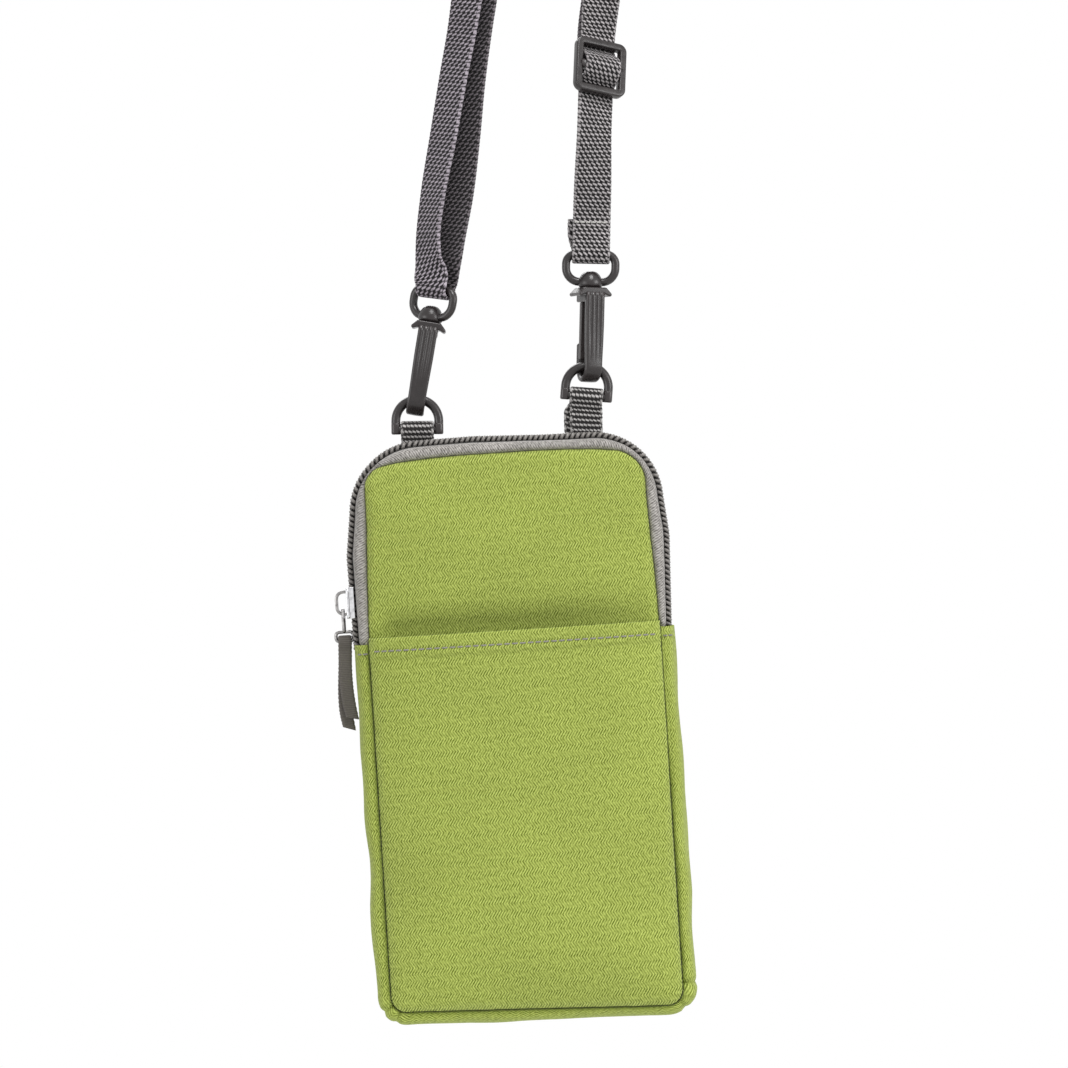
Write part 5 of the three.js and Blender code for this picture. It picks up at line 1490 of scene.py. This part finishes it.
def make_ring(side):
    shoulder = RING_REACH - RING_HALF
    edge = RING_HALF - RING_CORNER
    outline = without_repeats(
        arc(0, shoulder, RING_HALF, 0, 180, 28) + [(-RING_HALF, RING_SIDE)]
        + arc(-edge, RING_CORNER, RING_CORNER, 180, 270, 6) + [(x, 0) for x in BAR_PLACES]
        + arc(edge, RING_CORNER, RING_CORNER, 270, 360, 6) + [(RING_HALF, RING_SIDE)])
    feet = [block(FOOT_SIZE, (s * FOOT_PLACE[0], 0, FOOT_PLACE[1]), FOOT_ROUND) for s in (-1, 1)]
    x, z = bar_place(side)
    matrix = Matrix.Translation((x, HANG_Y, z)) @ turn_by(side["ring_lean"], "Y")
    patch = merged([wire(outline, RING_WIRE / 2, sides=16)] + feet)
    plastic(side["name"] + "_ring", patch, matrix, "d_rings", side["name"] + "_d_ring")


def hook_section(width, thickness, flute):
    """A bar's section as [outwards, across], rounded, with grooves along its outer face."""
    across = np.linspace(-width / 2 + SECTION_EDGE, width / 2 - SECTION_EDGE, SECTION_COLUMNS)
    outer = np.full(SECTION_COLUMNS, thickness / 2)
    for place in FLUTES:
        outer -= flute * FLUTE_DEPTH * np.exp(-((across - place * width / HOOK_WIDTH) / FLUTE_WIDTH) ** 2)
    outer -= FACE_BOW * (2 * across / width) ** 2
    edge = thickness / 2 - 0.35
    right = [(edge, width / 2 - 0.1), (edge - 0.35, width / 2), (-edge + 0.3, width / 2),
             (-edge, width / 2 - 0.12)]
    left = [(s, -a) for s, a in reversed(right)]
    inner = [(-thickness / 2, width / 2 - 0.5), (-thickness / 2, -width / 2 + 0.5)]
    return np.array(list(zip(outer, across)) + right + inner + left)


def make_hook_body():
    """Spine, curled jaw and nose in one sweep."""
    radius = (SPINE_BACK - SPINE / 2 + NOSE_INNER + NOSE / 2) / 2
    middle = NOSE_INNER + NOSE / 2 - radius
    low = -JAW_DROP + radius + JAW / 2
    line = [(-SPINE_BACK + SPINE / 2, z) for z in np.linspace(SPINE_TOP, low + 1, 14)]
    line += arc(middle, low, radius, 180, 360, 22)
    line += [(middle + radius, z) for z in np.linspace(low + 1, NOSE_TIP, 9)]
    rows = []
    for y, z in line:
        along = clamp((z - FLUTE_FROM) / FLUTE_RUN) if y < middle else 0
        nose = clamp((y - middle) / radius)
        width = JAW_WIDTH + (HOOK_WIDTH - JAW_WIDTH) * along - (JAW_WIDTH - NOSE_WIDTH) * nose
        thickness = JAW + (SPINE - JAW) * clamp((z - SPINE_FROM) / SPINE_RUN) * (y < middle)
        tip = 1 if z < NOSE_TIP - TIP_LENGTH or y < middle else TIP_SCALE
        rows.append(hook_section(width, thickness, along) * tip)
    return sweep([(0, y, z) for y, z in line], (1, 0, 0), np.array(rows))


def hook_collar():
    half, wing = HOOK_WIDTH / 2, WING_SPAN / 2
    right = [(half, HOOK_LENGTH - HEAD_HEIGHT), (half, HOOK_LENGTH - WING_EDGE),
             (wing - WING_TIP, HOOK_LENGTH - WING_DROP), (wing, HOOK_LENGTH - WING_EDGE),
             (half + WING_ROOT, HOOK_LENGTH)]
    outline = mirrored(right)
    return prism(outline, -SPINE_BACK + 0.3, HEAD_FRONT, along_y)


def gate_tongue():
    top, outer = HOOK_LENGTH - HEAD_HEIGHT - 0.05, NOSE_INNER - CLEARANCE
    inner = outer - GATE
    outline = [(inner, GATE_LIFT), (outer, GATE_LIFT), (outer, top), (inner - GATE_ROOT, top)]
    return prism(outline, -GATE_WIDTH / 2, GATE_WIDTH / 2, along_x)


def lathe(line, sides=28):
    """Rings of [radius, height] about the z axis, closed at both ends."""
    rings = [[(x, y, z) for x, y in circle(radius, sides)] for radius, z in line]
    around = 2 * np.pi * line[0][0] * np.arange(sides + 1) / sides
    return capped(lattice(rings, around, distances(np.array(line)), wrap=True), sides)


def swivel_eye():
    half = (EYE_WIDTH - EYE_WIRE) / 2
    low = HOOK_LENGTH + SWIVEL_GAP + EYE_WIRE / 2
    top, foot = EYE_TOP_CORNER, EYE_BOTTOM_CORNER
    outline = without_repeats(
        arc(half - top, EYE_TOP - top, top, 0, 90, 8) + [(x, EYE_TOP) for x in reversed(BAR_PLACES)]
        + arc(-half + top, EYE_TOP - top, top, 90, 180, 8) + arc(-half + foot, low + foot, foot, 180, 270, 8)
        + [(-2, low), (2, low)] + arc(half - foot, low + foot, foot, 270, 360, 8))
    base = HOOK_LENGTH + SWIVEL_GAP
    boss = [(STEM_RADIUS, base - SWIVEL_GAP - STEM_DEPTH), (STEM_RADIUS, base - SWIVEL_GAP + 0.06),
            (0.9 * BOSS_RADIUS, base - SWIVEL_GAP + 0.08)]
    boss += [(BOSS_RADIUS * r, base + BOSS_HEIGHT * h) for r, h in BOSS_LINE]
    return merged([wire(outline, EYE_WIRE / 2, sides=16), lathe(boss)])


def make_hook(side, eye_matrix):
    name = side["name"]
    matrix = stand(side, side["hook_turn"])
    plastic(name + "_hook_collar", hook_collar(), matrix, "strap", name + "_hook", COLLAR_ROUND, 3)
    plastic(name + "_hook_body", make_hook_body(), matrix, "strap", name + "_hook")
    plastic(name + "_gate_tongue", gate_tongue(), matrix, name + "_gate", name + "_gate", PLASTIC_ROUND)
    plastic(name + "_eye_ring", swivel_eye(), eye_matrix, name + "_eye", name + "_swivel_eye")
    make_ring(side)


def make_glide():
    side = GLIDE_WIDTH / 2 - STRAP_WIDTH / 2 - GLIDE_PLAY
    half, high = GLIDE_WIDTH / 2 - side / 2, GLIDE_HEIGHT / 2 - GLIDE_END_BAR / 2
    outline = without_repeats(rounded(half, -high, high, GLIDE_CORNER - side / 2, 6))
    frame_wire = sweep(in_plane(outline), (0, 1, 0), oblong(side, GLIDE_DEPTH, GLIDE_ROUND, 4), closed=True)
    bar = sweep([(x, 0, 0) for x in np.linspace(-half, half, 5)], (0, 1, 0),
                oblong(GLIDE_CENTRE_BAR, GLIDE_DEPTH, GLIDE_BAR_ROUND, 4))
    plastic("adjuster_frame", merged([frame_wire, bar]), GLIDE_FRAME, "adjuster", "tri_glide")


make_hook(LEFT, LEFT_EYE)
make_hook(RIGHT, RIGHT_EYE)
make_glide()


# Slider, puller and ribbon tab, built with x outwards and z up from the slider's middle

SLIDER_FRAME = Matrix.Translation((-SEAM_HALF, 0, SLIDER_Z)) @ turn_by(180, "Z")
SLIDER_LENGTH = 10
SLIDER_HALF_TOP = 3.9
SLIDER_HALF_BOTTOM = 4.7
SLIDER_PLATE = 1
INNER_PLATE_TOP = 2.7
OUTER_FACE = 5.5
PLATE_TOP = OUTER_FACE + SLIDER_PLATE
BRIDGE_INNER = 9.2
BRIDGE_OUTER = 10.2
BRIDGE_WIDTH = 2.2
BRIDGE_LENGTH = 8
PULLER_WIRE = 1.1
PULLER_OUT = (PLATE_TOP + BRIDGE_INNER) / 2
UPPER_LINK = {"half": 1.65, "low": -9.15, "high": -2.15}
LOWER_LINK = {"half": 2.75, "low": -12.15, "high": -9.15}
LINK_CORNER = 1.1
RIBBON_WIDTH = 4.2
RIBBON_CLOTH = 1.1
FRONT_LEAF = 24
BACK_LEAF = 28
CUT_RUN = 6
CUT_SLOPE = 0.5
FLANGE = 0.45
FLANGE_LOW = 3.9
PLATE_LAP = 0.5
POST_HALF = 0.65
POST_LOW, POST_HIGH = 0.6, 2.8
SLIDER_ROUND = 0.25
BRIDGE_WIRE = 1.0
BRIDGE_ROUND = 0.4
LEAF_STEPS = 9
FOLD_RADIUS = PULLER_WIRE / 2 + CLEARANCE + RIBBON_CLOTH / 2


def slider_plate(low):
    """The slider's plate: waisted, wider below, with its corners cut round."""
    top, end = SLIDER_HALF_TOP, SLIDER_LENGTH / 2
    right = [(SLIDER_HALF_BOTTOM - 0.9, -end), (SLIDER_HALF_BOTTOM - 0.2, -end + 0.4),
             (SLIDER_HALF_BOTTOM, -end + 1.2), (SLIDER_HALF_BOTTOM, -1), (top + 0.4, 2),
             (top, end - 1.2), (top - 0.3, end - 0.3), (top - 1.2, end)]
    outline = mirrored(right)
    return prism(outline, low, low + SLIDER_PLATE, along_x)


def slider_box(low, high):
    """A plain-sided part of the slider between two corners."""
    outline = [(low[1], low[2]), (high[1], low[2]), (high[1], high[2]), (low[1], high[2])]
    return prism(outline, low[0], high[0], along_x)


def link(size, across_x):
    """A puller link: a round wire bent into an oblong, in one plane or the other."""
    outline = without_repeats(rounded(size["half"], size["low"], size["high"], LINK_CORNER, 5))
    patch = wire(outline, PULLER_WIRE / 2, sides=12)
    turn = turn_by(0 if across_x else 90, "Z")
    return turned(patch, Matrix.Translation((PULLER_OUT, 0, 0)) @ turn)


def make_slider():
    end = SLIDER_LENGTH / 2
    post = slider_box((INNER_PLATE_TOP - PLATE_LAP, -POST_HALF, -end + POST_LOW),
                      (OUTER_FACE + PLATE_LAP, POST_HALF, -end + POST_HIGH))
    shell = [slider_plate(INNER_PLATE_TOP - SLIDER_PLATE), slider_plate(OUTER_FACE), post]
    for s in (-1, 1):
        sides = sorted((s * SLIDER_HALF_TOP, s * (SLIDER_HALF_TOP - FLANGE)))
        shell.append(slider_box((FLANGE_LOW, sides[0], -end), (OUTER_FACE + PLATE_LAP, sides[1], end)))
    fit("slider_shell", merged(shell), SLIDER_FRAME, STEEL, "zip_slider", ["zip_slider"],
        SLIDER_ROUND)
    half, rise = BRIDGE_LENGTH / 2 - BRIDGE_WIRE / 2, BRIDGE_OUTER - BRIDGE_WIRE / 2
    line = there_and_back([(PLATE_TOP - 0.4, -half), (PLATE_TOP + 1.2, -half), (rise - 1.1, -half + 0.25),
                           (rise - 0.25, -half + 1.1), (rise, -half + 2.2), (rise, 0)])
    path = smooth_line([(x, 0, z) for x, z in line], 0.4)
    bridge = sweep(path, (0, 1, 0), oblong(BRIDGE_WIRE, BRIDGE_WIDTH, BRIDGE_ROUND, 4))
    fit("slider_bridge", bridge, SLIDER_FRAME, DARK_STEEL, "zip_slider", ["zip_slider"])
    links = merged([link(UPPER_LINK, False), link(LOWER_LINK, True)])
    fit("puller_links", links, SLIDER_FRAME, DARK_STEEL, "zip_puller", ["zip_puller"])


def make_ribbon():
    """A ribbon folded over the puller: the front leaf bows a little and the back leaf hangs lower."""
    leaf = RIBBON_CLOTH / 2 + CLEARANCE / 2
    hang = LOWER_LINK["low"]
    front = [(0.4 * sin(t * pi) - 0.9 * (1 - t) ** 5, leaf + 0.5 * sin(t * pi), -FRONT_LEAF * (1 - t))
             for t in np.linspace(0, 0.88, LEAF_STEPS)]
    back = [(1.2 * sin(0.9 * pi * t ** 1.5), -leaf - 0.3 * t, -BACK_LEAF * t)
            for t in np.linspace(0.12, 1, LEAF_STEPS)]
    bend = [(0, y, z) for y, z in arc(0, 0, FOLD_RADIUS, 0, 180, 8)]
    points = np.array(front + bend + back)
    faces = strip_faces(points)
    rows = stations(SLIDER_FRAME @ Matrix.Translation((PULLER_OUT, 0, hang)), points, faces)
    spots, quads, places = web_patch(smooth_line(rows, 0.4), RIBBON_WIDTH, RIBBON_CLOTH)
    lowest = np.where(spots[:, 1] < 0, SLIDER_Z + hang - FRONT_LEAF, SLIDER_Z + hang - BACK_LEAF)
    cut = clamp((lowest + CUT_RUN - spots[:, 2]) / CUT_RUN)
    spots[:, 2] -= CUT_SLOPE * cut * (spots[:, 0] + SEAM_HALF + PULLER_OUT)
    obj = piece("pull_ribbon_fold", (spots, quads, places), RIBBON)
    show(obj, ["zip_pull_tab"], "zip_pull_tab")


make_slider()
make_ribbon()


# Webbing tabs that hold the D-rings

TAB_WRAP = 230
TAB_TUCK = 6
TAB_PINCH = 2.2
TAB_SLIP_RUN = 7


def make_tab(side):
    x, z = bar_place(side)
    bend, leg = RING_WIRE / 2 + CLEARANCE + TAB_WEBBING / 2, (TAB_WEBBING + CLEARANCE) / 2
    foot, pinch = SEAM_TOP - TAB_TUCK, z - TAB_PINCH * bend
    line = [(-leg, foot), (-leg, pinch - 1), (-leg, pinch)]
    line += [(y, z + rise) for y, rise in arc(0, 0, bend, 90 + TAB_WRAP / 2, 90 - TAB_WRAP / 2, 16)]
    line += [(leg, pinch), (leg, pinch - 1), (leg, foot)]
    points = np.array([(x, HANG_Y + y, height) for y, height in line])
    rows = smooth_line(np.hstack([points, -strip_faces(points)]), 0.4)
    spots, faces, places = web_patch(rows, TAB_WIDTH, TAB_WEBBING)
    low = clamp((z - bend - spots[:, 2]) / (z - bend - foot))
    slip = np.where(spots[:, 1] < HANG_Y, *side["tab_slip"])
    spots[:, 0] += slip * np.minimum(TAB_SLIP_RUN * low, 1)
    lean = radians(side["ring_lean"]) * clamp((spots[:, 2] - foot) / (pinch - foot))
    across, above = spots[:, 0] - x, spots[:, 2] - z
    spots[:, 0] = x + across * np.cos(lean) + above * np.sin(lean)
    spots[:, 2] = z - across * np.sin(lean) + above * np.cos(lean)
    obj = piece(side["name"] + "_tab_web", (spots, faces, places), TAB_WEB)
    show(obj, [side["name"] + "_tab"])
    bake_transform(obj)


make_tab(LEFT)
make_tab(RIGHT)


# Belt loop on the back

BELT = {"width": 30, "height": 76, "sewn": 9, "standoff": 5.4, "cloth": 1.4, "slope": 6, "middle": 105,
        "hold": 3, "ease": 5, "round": 0.6}


def make_belt_loop():
    """A folded strip sewn flat at both ends and standing off between them."""
    end = BELT["height"] / 2
    flat = end - BELT["sewn"]
    top = flat - BELT["slope"]
    face = BACK_OUT + BACK_CROWN + BELT["cloth"] / 2
    out = face + BELT["standoff"]
    line = there_and_back([
        (face, -end), (face, -flat - BELT["hold"]), (face, -flat),
        (face + 0.5 * BELT["standoff"], -(flat + top) / 2), (out - BELT["round"], -top),
        (out, -top + BELT["ease"]), (out, 0)])
    points = smooth_line([(0, y, BELT["middle"] + z) for y, z in line], 0.6)
    rows = np.hstack([points, np.broadcast_to((0, 1, 0), points.shape)])
    obj = piece("back_loop", web_patch(rows, BELT["width"], BELT["cloth"]), GREEN)
    show(obj, ["belt_loop"], "bag")


make_belt_loop()
